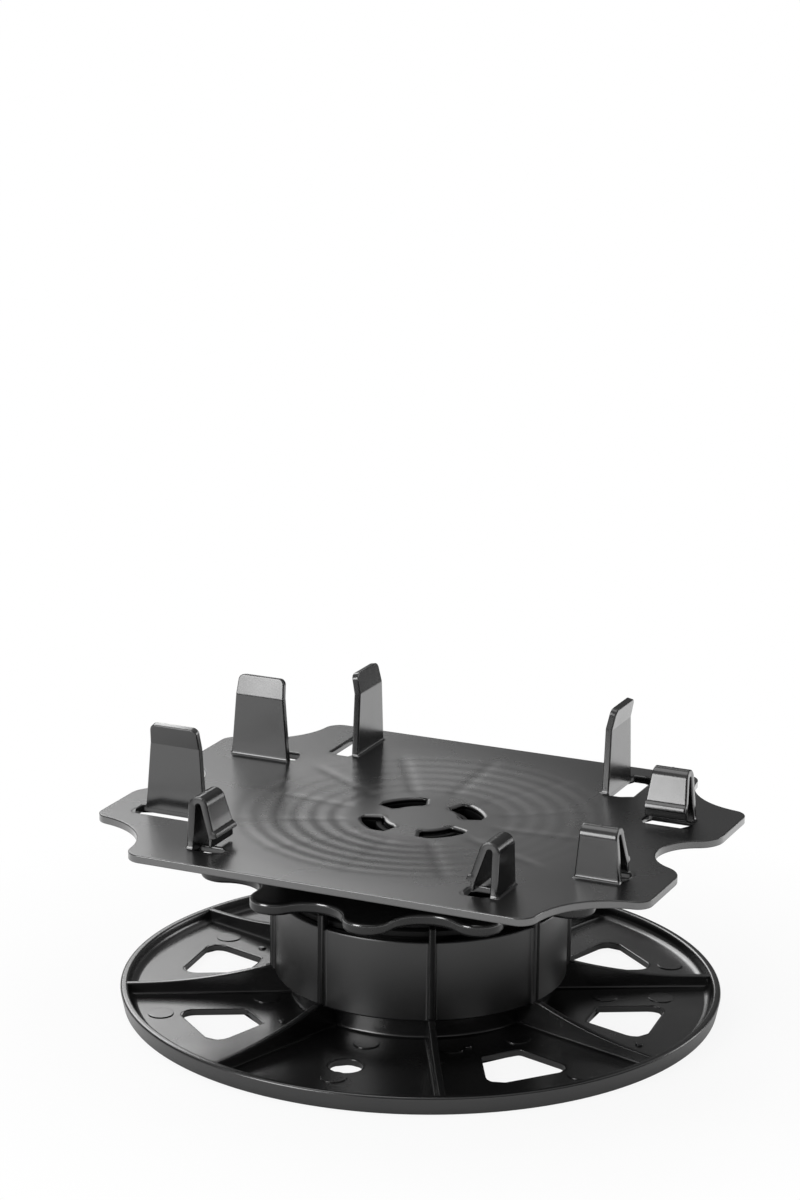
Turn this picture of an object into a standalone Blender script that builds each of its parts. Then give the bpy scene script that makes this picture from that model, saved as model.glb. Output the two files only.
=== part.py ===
"""Screw-adjustable support pedestal with a clip-on joist plate.

A ribbed round base carries a threaded tower. A hand wheel with a threaded
spindle turns in the tower and lifts a head disc, and a joist plate with sprung
tabs and clips swivels on the head. Metres, +Z up, origin under the base centre.
The plate's long straight edges lie along X.
"""
import math

import bmesh
import bpy
from mathutils import Matrix
from mathutils import Vector

MM = 0.001

# Clearances
GAP = 0.3 * MM
EMBED = 0.6 * MM
THREAD_PLAY = 0.7 * MM
THREAD_SEAT = 0.4 * MM
SNAP_PLAY = 0.4 * MM
HOOK_PLAY = 0.6 * MM
SPINDLE_FLOOR_PLAY = 0.8 * MM

# Smoothness of round shapes
ROUND_STEPS = 64
THREAD_STEPS = 32
CORNER_STEPS = 4

# Base disc
BASE_RADIUS = 100.0 * MM
RIM_FLARE = 1.3 * MM
RIM_HEIGHT = 6.2 * MM
RIM_WIDTH = 2.8 * MM
FLOOR_THICK = 2.3 * MM
CENTRE_DRAIN_RADIUS = 6.0 * MM

# Tower on the base
TOWER_RADIUS = 49.1 * MM
TOWER_WALL = 2.6 * MM
TOWER_TOP = 37.7 * MM
NECK_RADIUS = 43.3 * MM
NECK_WALL = 2.4 * MM
LEDGE_HEIGHT = 10.3 * MM
LEDGE_THICK = 2.2 * MM

# Ribs on the floor and fins on the tower
RIB_COUNT = 8
RIB_PHASE = math.radians(27.9)
RIB_THICK = 2.5 * MM
RIB_RIM_HEIGHT = 5.2 * MM
RIB_TOWER_HEIGHT = 10.6 * MM
RIB_SAG = 1.5
RIB_STEPS = 8
FIN_PROUD = 1.7 * MM
FIN_RISE = 5.0 * MM
FIN_INSET = 0.5 * MM

# Drain cut-outs and screw holes in the floor
DRAIN_INNER = 60.5 * MM
DRAIN_OUTER = 81.0 * MM
DRAIN_RIB_OFFSET = 17.0 * MM
DRAIN_INNER_ROUND = 1.5 * MM
DRAIN_OUTER_ROUND = 4.5 * MM
SCREW_HOLE_RADIUS = 5.5 * MM
SCREW_HOLE_PITCH_RADIUS = 73.0 * MM
SCREW_HOLE_SECTORS = (1, 5)

# Thread of tower and spindle
PITCH = 6.0 * MM
RIDGE_HEIGHT = 2.0 * MM
RIDGE_ROOT = 3.2 * MM
RIDGE_CREST = 2.0 * MM
THREAD_END = 1.0 * MM
TRAVEL_DOWN = 4.0 * MM

# Hand wheel
WHEEL_BOTTOM = 48.3 * MM
WHEEL_THICK = 4.2 * MM
LOBE_COUNT = 12
LOBE_PHASE = math.radians(9.1)
LOBE_TIP_RADIUS = 75.2 * MM
LOBE_VALLEY_RADIUS = 62.8 * MM
LOBE_ROUND = 8.1 * MM
SPINDLE_WALL = 2.8 * MM
SNAP_STEP = 0.8 * MM
SNAP_STEP_DEPTH = 6.5 * MM

# Head disc
HEAD_RADIUS = 48.0 * MM
HEAD_HEIGHT = 9.0 * MM
HEAD_THICK = 2.6 * MM
HEAD_SKIRT = 2.4 * MM
HEAD_CATCH_RING = 2.0 * MM
COLLAR_WALL = 2.4 * MM
BEAD_HEIGHT = 2.0 * MM

# Joist plate
PLATE_THICK = 2.7 * MM
PLATE_HALF_LENGTH = 97.8 * MM
PLATE_HALF_DEPTH = 79.0 * MM
NOTCH_DEPTH = 14.4 * MM
NOTCH_ROUND = 16.0 * MM
NOTCH_SHOULDER = 10.0 * MM
DIP_CENTRE_X = 97.3 * MM
DIP_CENTRE_Y = 75.5 * MM
DIP_ROUND = 26.5 * MM
LOBE_CORNER = 5.5 * MM
PLATE_CORNER = 6.0 * MM
RING_INNER = 13.0 * MM
RING_OUTER = 20.4 * MM
RING_SPAN = math.radians(50.0)
RING_STEPS = 8

# Snap hooks below the plate
HOOK_WALL = 2.2 * MM
HOOK_SPAN = math.radians(40.0)
HOOK_BARB = 1.2 * MM
HOOK_BARB_HEIGHT = 2.4 * MM
HOOK_TIP_TAPER = 1.0 * MM

# Tall guide tabs
TAB_ROW_X = 76.0 * MM
TAB_ROW_Y = 58.0 * MM
JOIST_NARROW = 59.0 * MM
JOIST_WIDE = 90.2 * MM
JOIST_PLAY = 0.7 * MM
TAB_THICK = 2.4 * MM
TAB_FOOT_WIDTH = 21.8 * MM
TAB_TOP_WIDTH = 17.2 * MM
TAB_BEND_HEIGHT = 22.2 * MM
TAB_LIP_LENGTH = 7.3 * MM
TAB_LIP_ANGLE = math.radians(12.0)
TAB_CORNER = 2.0 * MM
TAB_SLOT_DEPTH = 8.4 * MM
TAB_SLOT_MARGIN = 0.8 * MM

# Folded spring clips
CLIP_FOOT_WIDTH = 15.4 * MM
CLIP_TOP_WIDTH = 13.0 * MM
CLIP_HEIGHT = 17.4 * MM
CLIP_THICK = 2.2 * MM
CLIP_FOLD_RADIUS = 3.2 * MM
CLIP_SETBACK = 8.5 * MM
CLIP_LEG_ANGLE = math.radians(17.0)
CLIP_LEG_THICK = 1.9 * MM
CLIP_TIP_HEIGHT = 1.9 * MM
CLIP_BARB = 1.2 * MM
CLIP_BARB_LENGTH = 2.6 * MM
CLIP_TONGUE_LENGTH = 2.2 * MM
CLIP_TONGUE_THICK = 1.4 * MM
CLIP_SLOT_DEPTH = 9.5 * MM
CLIP_SLOT_MARGIN = 0.4 * MM
CLIP_SLOT_SHORT = 9.6 * MM

# Sizes that follow from the ones above
RIM_TOP_RADIUS = BASE_RADIUS + RIM_FLARE
RIM_INNER = RIM_TOP_RADIUS - RIM_WIDTH
TOWER_BORE = TOWER_RADIUS - TOWER_WALL
NECK_BORE = NECK_RADIUS - NECK_WALL
LEDGE_TOP = LEDGE_HEIGHT + LEDGE_THICK
FIN_TOP = TOWER_TOP + FIN_RISE
SPINDLE_RADIUS = TOWER_BORE - RIDGE_HEIGHT - THREAD_PLAY
SPINDLE_BORE = SPINDLE_RADIUS - SPINDLE_WALL
SPINDLE_BOTTOM = LEDGE_TOP + TRAVEL_DOWN + SPINDLE_FLOOR_PLAY
WHEEL_TOP = WHEEL_BOTTOM + WHEEL_THICK
SNAP_STEP_Z = WHEEL_TOP - SNAP_STEP_DEPTH
HEAD_BOTTOM = WHEEL_TOP + GAP
HEAD_TOP = HEAD_BOTTOM + HEAD_HEIGHT
HEAD_UNDERSIDE = HEAD_TOP - HEAD_THICK
COLLAR_RADIUS = SPINDLE_BORE - SNAP_PLAY
BEAD_RADIUS = SPINDLE_BORE + SNAP_STEP - SNAP_PLAY
BEAD_TOP = SNAP_STEP_Z - SNAP_PLAY
PLATE_BOTTOM = HEAD_TOP + GAP
PLATE_TOP = PLATE_BOTTOM + PLATE_THICK
HOOK_RADIUS = RING_INNER
HEAD_HOLE = HOOK_RADIUS + HOOK_PLAY
GUIDE_NARROW = JOIST_NARROW / 2 + JOIST_PLAY
GUIDE_WIDE = JOIST_WIDE / 2 + JOIST_PLAY
CLIP_NARROW = GUIDE_NARROW + CLIP_SETBACK - TAB_THICK
CLIP_WIDE = GUIDE_WIDE + CLIP_SETBACK

for old_object in list(bpy.data.objects):
    bpy.data.objects.remove(old_object, do_unlink=True)

parts = bpy.data.collections.new("support_pedestal")
bpy.context.scene.collection.children.link(parts)


def plastic(name, shade, roughness):
    """Black moulded plastic with its own shade and gloss."""
    material = bpy.data.materials.new(name)
    material.use_nodes = True
    shader = material.node_tree.nodes["Principled BSDF"]
    shader.inputs["Base Color"].default_value = (shade, shade, shade, 1.0)
    shader.inputs["Roughness"].default_value = roughness
    shader.inputs["Metallic"].default_value = 0.0
    return material


def arc(centre_x, centre_y, radius, start, end, steps):
    """Points along a circle from one angle to another, both ends included."""
    points = []
    for step in range(steps + 1):
        angle = start + (end - start) * step / steps
        points.append((centre_x + radius * math.cos(angle), centre_y + radius * math.sin(angle)))
    return points


def rounded(corners):
    """Outline with each corner (x, y, radius) replaced by an arc."""
    outline = []
    count = len(corners)
    for index, (x, y, radius) in enumerate(corners):
        corner = Vector((x, y))
        if radius <= 0.0:
            outline.append((x, y))
            continue
        before = (Vector(corners[index - 1][:2]) - corner).normalized()
        after = (Vector(corners[(index + 1) % count][:2]) - corner).normalized()
        half = before.angle(after) / 2
        centre = corner + (before + after).normalized() * radius / math.sin(half)
        first = corner + before * radius / math.tan(half) - centre
        turn = first.angle_signed(corner + after * radius / math.tan(half) - centre)
        for step in range(CORNER_STEPS + 1):
            point = centre + Matrix.Rotation(-turn * step / CORNER_STEPS, 2) @ first
            outline.append((point.x, point.y))
    return outline


def mesh_object(name, mesh):
    """Object that shows a mesh, in the pedestal's collection."""
    made = bpy.data.objects.new(name, mesh)
    parts.objects.link(made)
    return made


def evaluated_copy(source, name):
    """Plain mesh object of what an object shows after its modifiers."""
    graph = bpy.context.evaluated_depsgraph_get()
    mesh = bpy.data.meshes.new_from_object(source.evaluated_get(graph))
    mesh.name = name
    shape = bmesh.new()
    shape.from_mesh(mesh)
    bmesh.ops.remove_doubles(shape, verts=shape.verts, dist=GAP / 100)
    bmesh.ops.recalc_face_normals(shape, faces=shape.faces)
    shape.to_mesh(mesh)
    shape.free()
    copy = mesh_object(name, mesh)
    copy.matrix_world = source.matrix_world
    bpy.data.objects.remove(source, do_unlink=True)
    return copy


def prism(name, outline, thickness, placing):
    """Flat outline in local XY, thickened evenly about its plane, then placed."""
    curve = bpy.data.curves.new(name + "_outline", "CURVE")
    curve.dimensions = "2D"
    curve.fill_mode = "BOTH"
    curve.extrude = thickness / 2
    spline = curve.splines.new("POLY")
    spline.points.add(len(outline) - 1)
    for point, (x, y) in zip(spline.points, outline):
        point.co = (x, y, 0.0, 1.0)
    spline.use_cyclic_u = True
    drawn = bpy.data.objects.new(name + "_outline", curve)
    parts.objects.link(drawn)
    bpy.context.view_layer.update()
    solid = evaluated_copy(drawn, name)
    solid.data.transform(placing)
    return solid


def slab(name, outline, low, high):
    """Outline in plan, filled between two heights."""
    return prism(name, outline, high - low, Matrix.Translation((0.0, 0.0, (low + high) / 2)))


def turned(name, profile):
    """Closed section (radius, height) turned once about Z."""
    mesh = bpy.data.meshes.new(name + "_section")
    points = [(radius, 0.0, height) for radius, height in profile]
    edges = [(index, (index + 1) % len(points)) for index in range(len(points))]
    mesh.from_pydata(points, edges, [])
    source = mesh_object(name + "_section", mesh)
    screw = source.modifiers.new("turn", "SCREW")
    screw.axis = "Z"
    screw.steps = ROUND_STEPS
    screw.render_steps = ROUND_STEPS
    screw.use_merge_vertices = True
    screw.merge_threshold = GAP / 100
    bpy.context.view_layer.update()
    return evaluated_copy(source, name)


def swept(name, section, start, angle, rise, steps):
    """Section (radius, height) swept about Z from a start angle, climbing by rise."""
    shape = bmesh.new()
    corners = [shape.verts.new((radius, 0.0, height)) for radius, height in section]
    face = shape.faces.new(corners)
    bmesh.ops.spin(
        shape,
        geom=[face] + list(face.edges) + corners,
        cent=(0.0, 0.0, 0.0),
        axis=(0.0, 0.0, 1.0),
        dvec=(0.0, 0.0, rise / steps),
        angle=angle,
        steps=steps,
    )
    bmesh.ops.triangulate(shape, faces=shape.faces)
    bmesh.ops.recalc_face_normals(shape, faces=shape.faces)
    bmesh.ops.rotate(shape, verts=shape.verts, cent=(0, 0, 0), matrix=Matrix.Rotation(start, 3, "Z"))
    mesh = bpy.data.meshes.new(name)
    shape.to_mesh(mesh)
    shape.free()
    return mesh_object(name, mesh)


def repeated(source, placings):
    """One mesh object that holds a copy of the source at each placing."""
    shape = bmesh.new()
    for placing in placings:
        copy = source.data.copy()
        copy.transform(placing)
        shape.from_mesh(copy)
        bpy.data.meshes.remove(copy)
    mesh = bpy.data.meshes.new(source.name + "_set")
    shape.to_mesh(mesh)
    shape.free()
    name = source.name + "_set"
    bpy.data.objects.remove(source, do_unlink=True)
    return mesh_object(name, mesh)


def combined(target, other, operation):
    """Target after a Boolean with another object, which is used up."""
    name = target.name
    target.name = name + "_before"
    boolean = target.modifiers.new("join", "BOOLEAN")
    boolean.operation = operation
    boolean.solver = "EXACT"
    boolean.object = other
    bpy.context.view_layer.update()
    result = evaluated_copy(target, name)
    bpy.data.objects.remove(other, do_unlink=True)
    return result


def around(count, phase):
    """Placings at equal angles about Z."""
    return [Matrix.Rotation(phase + index * math.tau / count, 4, "Z") for index in range(count)]


def finished(piece, material):
    """Piece with its material, and smooth shading on its round faces."""
    piece.data.materials.clear()
    piece.data.materials.append(material)
    piece.data.shade_smooth()
    piece.data.set_sharp_from_angle(angle=math.radians(30.0))
    return piece


def hung_on_axis(piece, placing, material):
    """Piece modelled about its own joint axis, set in place by its object."""
    piece.matrix_world = placing
    return finished(piece, material)


# Upright plane: local X stays X, local Y becomes height
UPRIGHT = Matrix.Rotation(math.pi / 2, 4, "X")


def upright_section(name, outline, width):
    """Section (local Y, height) drawn upright and thickened along local X."""
    turn = Matrix.Rotation(math.pi / 2, 4, "Z")
    return prism(name, outline, width, turn @ UPRIGHT)


def thread_section(root_radius, crest_radius, height):
    """Trapezoid ridge of the thread, rooted inside its wall."""
    inward = math.copysign(EMBED, root_radius - crest_radius)
    return [
        (root_radius + inward, height - RIDGE_ROOT / 2),
        (root_radius, height - RIDGE_ROOT / 2),
        (crest_radius, height - RIDGE_CREST / 2),
        (crest_radius, height + RIDGE_CREST / 2),
        (root_radius, height + RIDGE_ROOT / 2),
        (root_radius + inward, height + RIDGE_ROOT / 2),
    ]


def thread(name, root_radius, crest_radius, low, high, phase):
    """Right-hand helical ridge between two heights, in step with a phase height."""
    first = low + RIDGE_ROOT / 2
    climb = high - low - RIDGE_ROOT
    start = (first - phase) / PITCH * math.tau
    angle = climb / PITCH * math.tau
    steps = max(1, round(angle / math.tau * THREAD_STEPS))
    section = thread_section(root_radius, crest_radius, first)
    return swept(name, section, start, angle, climb, steps)


# Base: a turned floor, rim, neck and threaded tower
base = turned("base", [
    (TOWER_BORE, TOWER_TOP),
    (TOWER_RADIUS, TOWER_TOP),
    (TOWER_RADIUS, LEDGE_HEIGHT),
    (NECK_RADIUS, LEDGE_HEIGHT),
    (NECK_RADIUS, FLOOR_THICK),
    (RIM_INNER, FLOOR_THICK),
    (RIM_INNER, RIM_HEIGHT),
    (RIM_TOP_RADIUS, RIM_HEIGHT),
    (BASE_RADIUS, 0.0),
    (CENTRE_DRAIN_RADIUS, 0.0),
    (CENTRE_DRAIN_RADIUS, FLOOR_THICK),
    (NECK_BORE, FLOOR_THICK),
    (NECK_BORE, LEDGE_TOP),
    (TOWER_BORE, LEDGE_TOP),
])

# Ribs: each runs from the rim up to the tower and on as a fin above it
rib_start = TOWER_RADIUS + FIN_PROUD
rib_top = []
for step in range(RIB_STEPS + 1):
    share = step / RIB_STEPS
    radius = RIM_INNER + (rib_start - RIM_INNER) * share
    rib_top.append((radius, RIB_RIM_HEIGHT + (RIB_TOWER_HEIGHT - RIB_RIM_HEIGHT) * share ** RIB_SAG))
rib_inside = NECK_RADIUS - NECK_WALL / 2
fin_inside = TOWER_BORE + FIN_INSET
rib_outline = [
    (rib_inside, FLOOR_THICK - EMBED),
    (RIM_INNER + EMBED, FLOOR_THICK - EMBED),
    (RIM_INNER + EMBED, RIB_RIM_HEIGHT),
    *rib_top,
    (rib_start, FIN_TOP),
    (fin_inside, FIN_TOP),
    (fin_inside, LEDGE_HEIGHT + LEDGE_THICK / 2),
    (rib_inside, LEDGE_HEIGHT + LEDGE_THICK / 2),
]
rib = prism("rib", rib_outline, RIB_THICK, UPRIGHT)
base = combined(base, repeated(rib, around(RIB_COUNT, RIB_PHASE)), "UNION")

# Cut-outs: drains with sides parallel to the ribs, and two round screw holes
sector = math.tau / RIB_COUNT
drain_corners = []
for distance, round_corner in ((DRAIN_INNER, DRAIN_INNER_ROUND), (DRAIN_OUTER, DRAIN_OUTER_ROUND)):
    half_width = distance * math.tan(sector / 2) - DRAIN_RIB_OFFSET / math.cos(sector / 2)
    drain_corners.append((distance, -half_width, round_corner))
    drain_corners.append((distance, half_width, round_corner))
drain_corners[2:] = reversed(drain_corners[2:])
sector_middles = around(RIB_COUNT, RIB_PHASE + sector / 2)
drain_places = []
hole_places = []
for index, placing in enumerate(sector_middles):
    if index in SCREW_HOLE_SECTORS:
        hole_places.append(placing)
    else:
        drain_places.append(placing)
drain = slab("drain", rounded(drain_corners), -EMBED, FLOOR_THICK + EMBED)
base = combined(base, repeated(drain, drain_places), "DIFFERENCE")
hole_outline = arc(SCREW_HOLE_PITCH_RADIUS, 0.0, SCREW_HOLE_RADIUS, 0.0, math.tau, RIB_STEPS * 3)[:-1]
hole = slab("screw_hole", hole_outline, -EMBED, FLOOR_THICK + EMBED)
base = combined(base, repeated(hole, hole_places), "DIFFERENCE")

# Inner thread of the tower
tower_crest = TOWER_BORE - RIDGE_HEIGHT
thread_low = LEDGE_TOP + THREAD_END
tower_thread = thread(
    "tower_thread", TOWER_BORE, tower_crest, thread_low, TOWER_TOP - THREAD_END, thread_low,
)
base = combined(base, tower_thread, "UNION")
finished(base, plastic("base_plastic", 0.012, 0.34))

# Hand wheel: a lobed flange in arcs that meet smoothly
lobe_centre = LOBE_TIP_RADIUS - LOBE_ROUND
half_step = math.pi / LOBE_COUNT
valley_centre = (lobe_centre ** 2 - (LOBE_VALLEY_RADIUS - LOBE_ROUND) ** 2) / (
    2 * (lobe_centre * math.cos(half_step) - LOBE_VALLEY_RADIUS + LOBE_ROUND)
)
valley_round = valley_centre - LOBE_VALLEY_RADIUS
valley_x = valley_centre * math.cos(half_step)
valley_y = valley_centre * math.sin(half_step)
lobe_turn = math.atan2(valley_y, valley_x - lobe_centre)
flange_outline = []
for index in range(LOBE_COUNT):
    lobe_angle = LOBE_PHASE + index * math.tau / LOBE_COUNT
    valley_angle = lobe_angle + half_step
    flange_outline += arc(
        lobe_centre * math.cos(lobe_angle), lobe_centre * math.sin(lobe_angle), LOBE_ROUND,
        lobe_angle - lobe_turn, lobe_angle + lobe_turn, 2 * CORNER_STEPS,
    )
    flange_outline += arc(
        valley_centre * math.cos(valley_angle), valley_centre * math.sin(valley_angle), valley_round,
        lobe_angle + lobe_turn + math.pi, valley_angle + half_step - lobe_turn + math.pi,
        2 * CORNER_STEPS,
    )[1:-1]
wheel = slab("adjusting_wheel", flange_outline, WHEEL_BOTTOM, WHEEL_TOP)

# Spindle: a tube under the flange, with the step that the head snaps behind
snap_bore = SPINDLE_BORE + SNAP_STEP
bore = turned("wheel_bore", [
    (0.0, WHEEL_TOP + EMBED),
    (SPINDLE_BORE, WHEEL_TOP + EMBED),
    (SPINDLE_BORE, WHEEL_BOTTOM - EMBED),
    (0.0, WHEEL_BOTTOM - EMBED),
])
wheel = combined(wheel, bore, "DIFFERENCE")
spindle = turned("spindle", [
    (SPINDLE_BORE, WHEEL_TOP - WHEEL_THICK / 2),
    (SPINDLE_RADIUS, WHEEL_TOP - WHEEL_THICK / 2),
    (SPINDLE_RADIUS, SPINDLE_BOTTOM),
    (snap_bore, SPINDLE_BOTTOM),
    (snap_bore, SNAP_STEP_Z),
    (SPINDLE_BORE, SNAP_STEP_Z),
])
wheel = combined(wheel, spindle, "UNION")
flank_share = (RIDGE_HEIGHT + THREAD_PLAY) / (2 * RIDGE_HEIGHT)
ridge_offset = RIDGE_ROOT - (RIDGE_ROOT - RIDGE_CREST) * flank_share + THREAD_SEAT
spindle_thread = thread(
    "spindle_thread", SPINDLE_RADIUS, SPINDLE_RADIUS + RIDGE_HEIGHT,
    SPINDLE_BOTTOM + THREAD_END, WHEEL_BOTTOM - THREAD_END, thread_low + ridge_offset,
)
wheel = combined(wheel, spindle_thread, "UNION")
finished(wheel, plastic("wheel_plastic", 0.012, 0.32))

# Head disc: a turned cap with a collar that snaps into the spindle
head = turned("head_disc", [
    (HEAD_HOLE, HEAD_TOP),
    (HEAD_RADIUS, HEAD_TOP),
    (HEAD_RADIUS, HEAD_BOTTOM),
    (HEAD_RADIUS - HEAD_SKIRT, HEAD_BOTTOM),
    (HEAD_RADIUS - HEAD_SKIRT, HEAD_UNDERSIDE),
    (COLLAR_RADIUS, HEAD_UNDERSIDE),
    (COLLAR_RADIUS, BEAD_TOP),
    (BEAD_RADIUS, BEAD_TOP),
    (BEAD_RADIUS, BEAD_TOP - BEAD_HEIGHT / 2),
    (COLLAR_RADIUS, BEAD_TOP - BEAD_HEIGHT),
    (COLLAR_RADIUS - COLLAR_WALL, BEAD_TOP - BEAD_HEIGHT),
    (COLLAR_RADIUS - COLLAR_WALL, HEAD_UNDERSIDE),
    (HEAD_HOLE, HEAD_UNDERSIDE),
])

# Windows in the head below the plate's slots, with a ring left for the hooks to catch
window_inner = HEAD_HOLE + HEAD_CATCH_RING
window_section = [
    (window_inner, HEAD_UNDERSIDE - EMBED),
    (RING_OUTER, HEAD_UNDERSIDE - EMBED),
    (RING_OUTER, HEAD_TOP + EMBED),
    (window_inner, HEAD_TOP + EMBED),
]
head_window = swept("head_window", window_section, -RING_SPAN / 2, RING_SPAN, 0.0, RING_STEPS)
head = combined(head, repeated(head_window, around(4, math.pi / 4)), "DIFFERENCE")
finished(head, plastic("head_plastic", 0.010, 0.40))


def plate_quarter():
    """Plate edge from the middle of the right notch to the back edge, in arcs."""
    notch_x = PLATE_HALF_LENGTH - NOTCH_DEPTH + NOTCH_ROUND
    shoulder_x = PLATE_HALF_LENGTH - NOTCH_SHOULDER
    shoulder_y = math.sqrt((NOTCH_ROUND + NOTCH_SHOULDER) ** 2 - (notch_x - shoulder_x) ** 2)
    notch_end = math.atan2(shoulder_y, shoulder_x - notch_x)
    lobe_x = PLATE_HALF_LENGTH - LOBE_CORNER
    lobe_y = DIP_CENTRE_Y - math.sqrt((DIP_ROUND + LOBE_CORNER) ** 2 - (DIP_CENTRE_X - lobe_x) ** 2)
    dip_start = math.atan2(lobe_y - DIP_CENTRE_Y, lobe_x - DIP_CENTRE_X)
    corner_y = PLATE_HALF_DEPTH - PLATE_CORNER
    corner_x = DIP_CENTRE_X - math.sqrt((DIP_ROUND + PLATE_CORNER) ** 2 - (DIP_CENTRE_Y - corner_y) ** 2)
    dip_end = math.atan2(corner_y - DIP_CENTRE_Y, corner_x - DIP_CENTRE_X)
    quarter = arc(notch_x, 0.0, NOTCH_ROUND, math.pi, notch_end, CORNER_STEPS)
    quarter += arc(shoulder_x, shoulder_y, NOTCH_SHOULDER, notch_end - math.pi, 0.0, CORNER_STEPS)[1:]
    quarter += arc(lobe_x, lobe_y, LOBE_CORNER, 0.0, dip_start + math.pi, CORNER_STEPS)
    quarter += arc(DIP_CENTRE_X, DIP_CENTRE_Y, DIP_ROUND, dip_start, dip_end, CORNER_STEPS)[1:]
    quarter += arc(corner_x, corner_y, PLATE_CORNER, dip_end + math.pi, math.pi / 2, CORNER_STEPS)[1:]
    return quarter


# Joist plate: two straight edges and two wavy sides, the same in each quarter
right_back = plate_quarter()
left_back = [(-x, y) for x, y in reversed(right_back)]
left_front = [(-x, -y) for x, y in right_back]
right_front = [(x, -y) for x, y in reversed(right_back)]
plate_outline = right_back + left_back[:-1] + left_front + right_front[:-1]
plate = slab("joist_plate", plate_outline, PLATE_BOTTOM, PLATE_TOP)

# Ring of arc slots over the snap hooks
ring_section = [
    (RING_INNER, PLATE_BOTTOM - EMBED),
    (RING_OUTER, PLATE_BOTTOM - EMBED),
    (RING_OUTER, PLATE_TOP + EMBED),
    (RING_INNER, PLATE_TOP + EMBED),
]
ring_slot = swept("ring_slot", ring_section, -RING_SPAN / 2, RING_SPAN, 0.0, RING_STEPS)
plate = combined(plate, repeated(ring_slot, around(4, math.pi / 4)), "DIFFERENCE")

# Where each tab and clip stands: local Y points out of the channel on a tab
# and into it on a clip, and the origin is on the plate's top face
quarter_turn = math.pi / 2
tab_places = []
clip_places = []
for x, y, turn in (
    (-TAB_ROW_X, -GUIDE_NARROW, 2 * quarter_turn),
    (-TAB_ROW_X, GUIDE_NARROW, 0.0),
    (-GUIDE_WIDE, TAB_ROW_Y, quarter_turn),
    (GUIDE_WIDE, TAB_ROW_Y, -quarter_turn),
):
    tab_places.append(Matrix.Translation((x, y, PLATE_TOP)) @ Matrix.Rotation(turn, 4, "Z"))
for x, y, turn in (
    (-CLIP_WIDE, -TAB_ROW_Y, -quarter_turn),
    (CLIP_WIDE, -TAB_ROW_Y, quarter_turn),
    (TAB_ROW_X, -CLIP_NARROW, 0.0),
    (TAB_ROW_X, CLIP_NARROW, 2 * quarter_turn),
):
    clip_places.append(Matrix.Translation((x, y, PLATE_TOP)) @ Matrix.Rotation(turn, 4, "Z"))


def plate_slot(name, left, right, near, far):
    """Rectangular opening through the plate, beside a tab or under a clip."""
    outline = [(left, near), (right, near), (right, far), (left, far)]
    return slab(name, outline, -PLATE_THICK - EMBED, EMBED)


tab_side = TAB_FOOT_WIDTH / 2 + TAB_SLOT_MARGIN
tab_slot = plate_slot("tab_slot", -tab_side, tab_side, TAB_THICK, TAB_THICK + TAB_SLOT_DEPTH)
plate = combined(plate, repeated(tab_slot, tab_places), "DIFFERENCE")

# Clip slots: the two on the front edge are short, and the others are as wide as the clip
clip_side = CLIP_FOOT_WIDTH / 2 + CLIP_SLOT_MARGIN
slot_far = CLIP_THICK + CLIP_SLOT_DEPTH
slot_reach = CLIP_SLOT_SHORT - clip_side
for left, right, places in (
    (-slot_reach, clip_side, clip_places[:1]),
    (-clip_side, slot_reach, clip_places[1:2]),
    (-clip_side, clip_side, clip_places[2:]),
):
    clip_slot = plate_slot("clip_slot", left, right, CLIP_THICK, slot_far)
    plate = combined(plate, repeated(clip_slot, places), "DIFFERENCE")


def clip_strip(name, section, origin_height):
    """Clip section as a strip that narrows from the foot's width to the top's."""
    strip = upright_section(name, section, CLIP_FOOT_WIDTH + 2 * EMBED)
    low = -EMBED - origin_height
    high = CLIP_HEIGHT + EMBED - origin_height
    front_outline = [
        (-CLIP_FOOT_WIDTH / 2, low),
        (CLIP_FOOT_WIDTH / 2, low),
        (CLIP_TOP_WIDTH / 2, high),
        (-CLIP_TOP_WIDTH / 2, high),
    ]
    front = prism("clip_front", front_outline, 2 * CLIP_HEIGHT, UPRIGHT)
    return combined(strip, front, "INTERSECT")


# Fixed part of each clip: an upright leg and the fold at its top
fold_y = CLIP_FOLD_RADIUS
fold_z = CLIP_HEIGHT - CLIP_FOLD_RADIUS
fold_inner = CLIP_FOLD_RADIUS - CLIP_THICK
arch_outline = [(0.0, -EMBED)]
arch_outline += arc(fold_y, fold_z, CLIP_FOLD_RADIUS, math.pi, CLIP_LEG_ANGLE, 2 * CORNER_STEPS)
arch_outline += arc(fold_y, fold_z, fold_inner, CLIP_LEG_ANGLE, math.pi, CORNER_STEPS)
arch_outline += [(CLIP_THICK, -EMBED)]
arch = clip_strip("clip_arch", arch_outline, 0.0)
plate = combined(plate, repeated(arch, clip_places), "UNION")
finished(plate, plastic("plate_plastic", 0.014, 0.36))

# Guide tabs: upright strips with the lip bent outward, hinged along the foot
tab_material = plastic("tab_plastic", 0.014, 0.33)
lip_y = TAB_LIP_LENGTH * math.sin(TAB_LIP_ANGLE)
lip_z = TAB_LIP_LENGTH * math.cos(TAB_LIP_ANGLE)
bend_shift = TAB_THICK * math.tan(TAB_LIP_ANGLE / 2)
tab_height = TAB_BEND_HEIGHT + lip_z
tab_section = [
    (-TAB_THICK / 2, GAP),
    (TAB_THICK / 2, GAP),
    (TAB_THICK / 2, TAB_BEND_HEIGHT - bend_shift),
    (TAB_THICK / 2 + lip_y, TAB_BEND_HEIGHT - bend_shift + lip_z),
    (-TAB_THICK / 2 + lip_y, tab_height),
    (-TAB_THICK / 2, TAB_BEND_HEIGHT),
]
tab_front = rounded([
    (-TAB_FOOT_WIDTH / 2, -EMBED, 0.0),
    (TAB_FOOT_WIDTH / 2, -EMBED, 0.0),
    (TAB_TOP_WIDTH / 2, tab_height, TAB_CORNER),
    (-TAB_TOP_WIDTH / 2, tab_height, TAB_CORNER),
])
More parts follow.
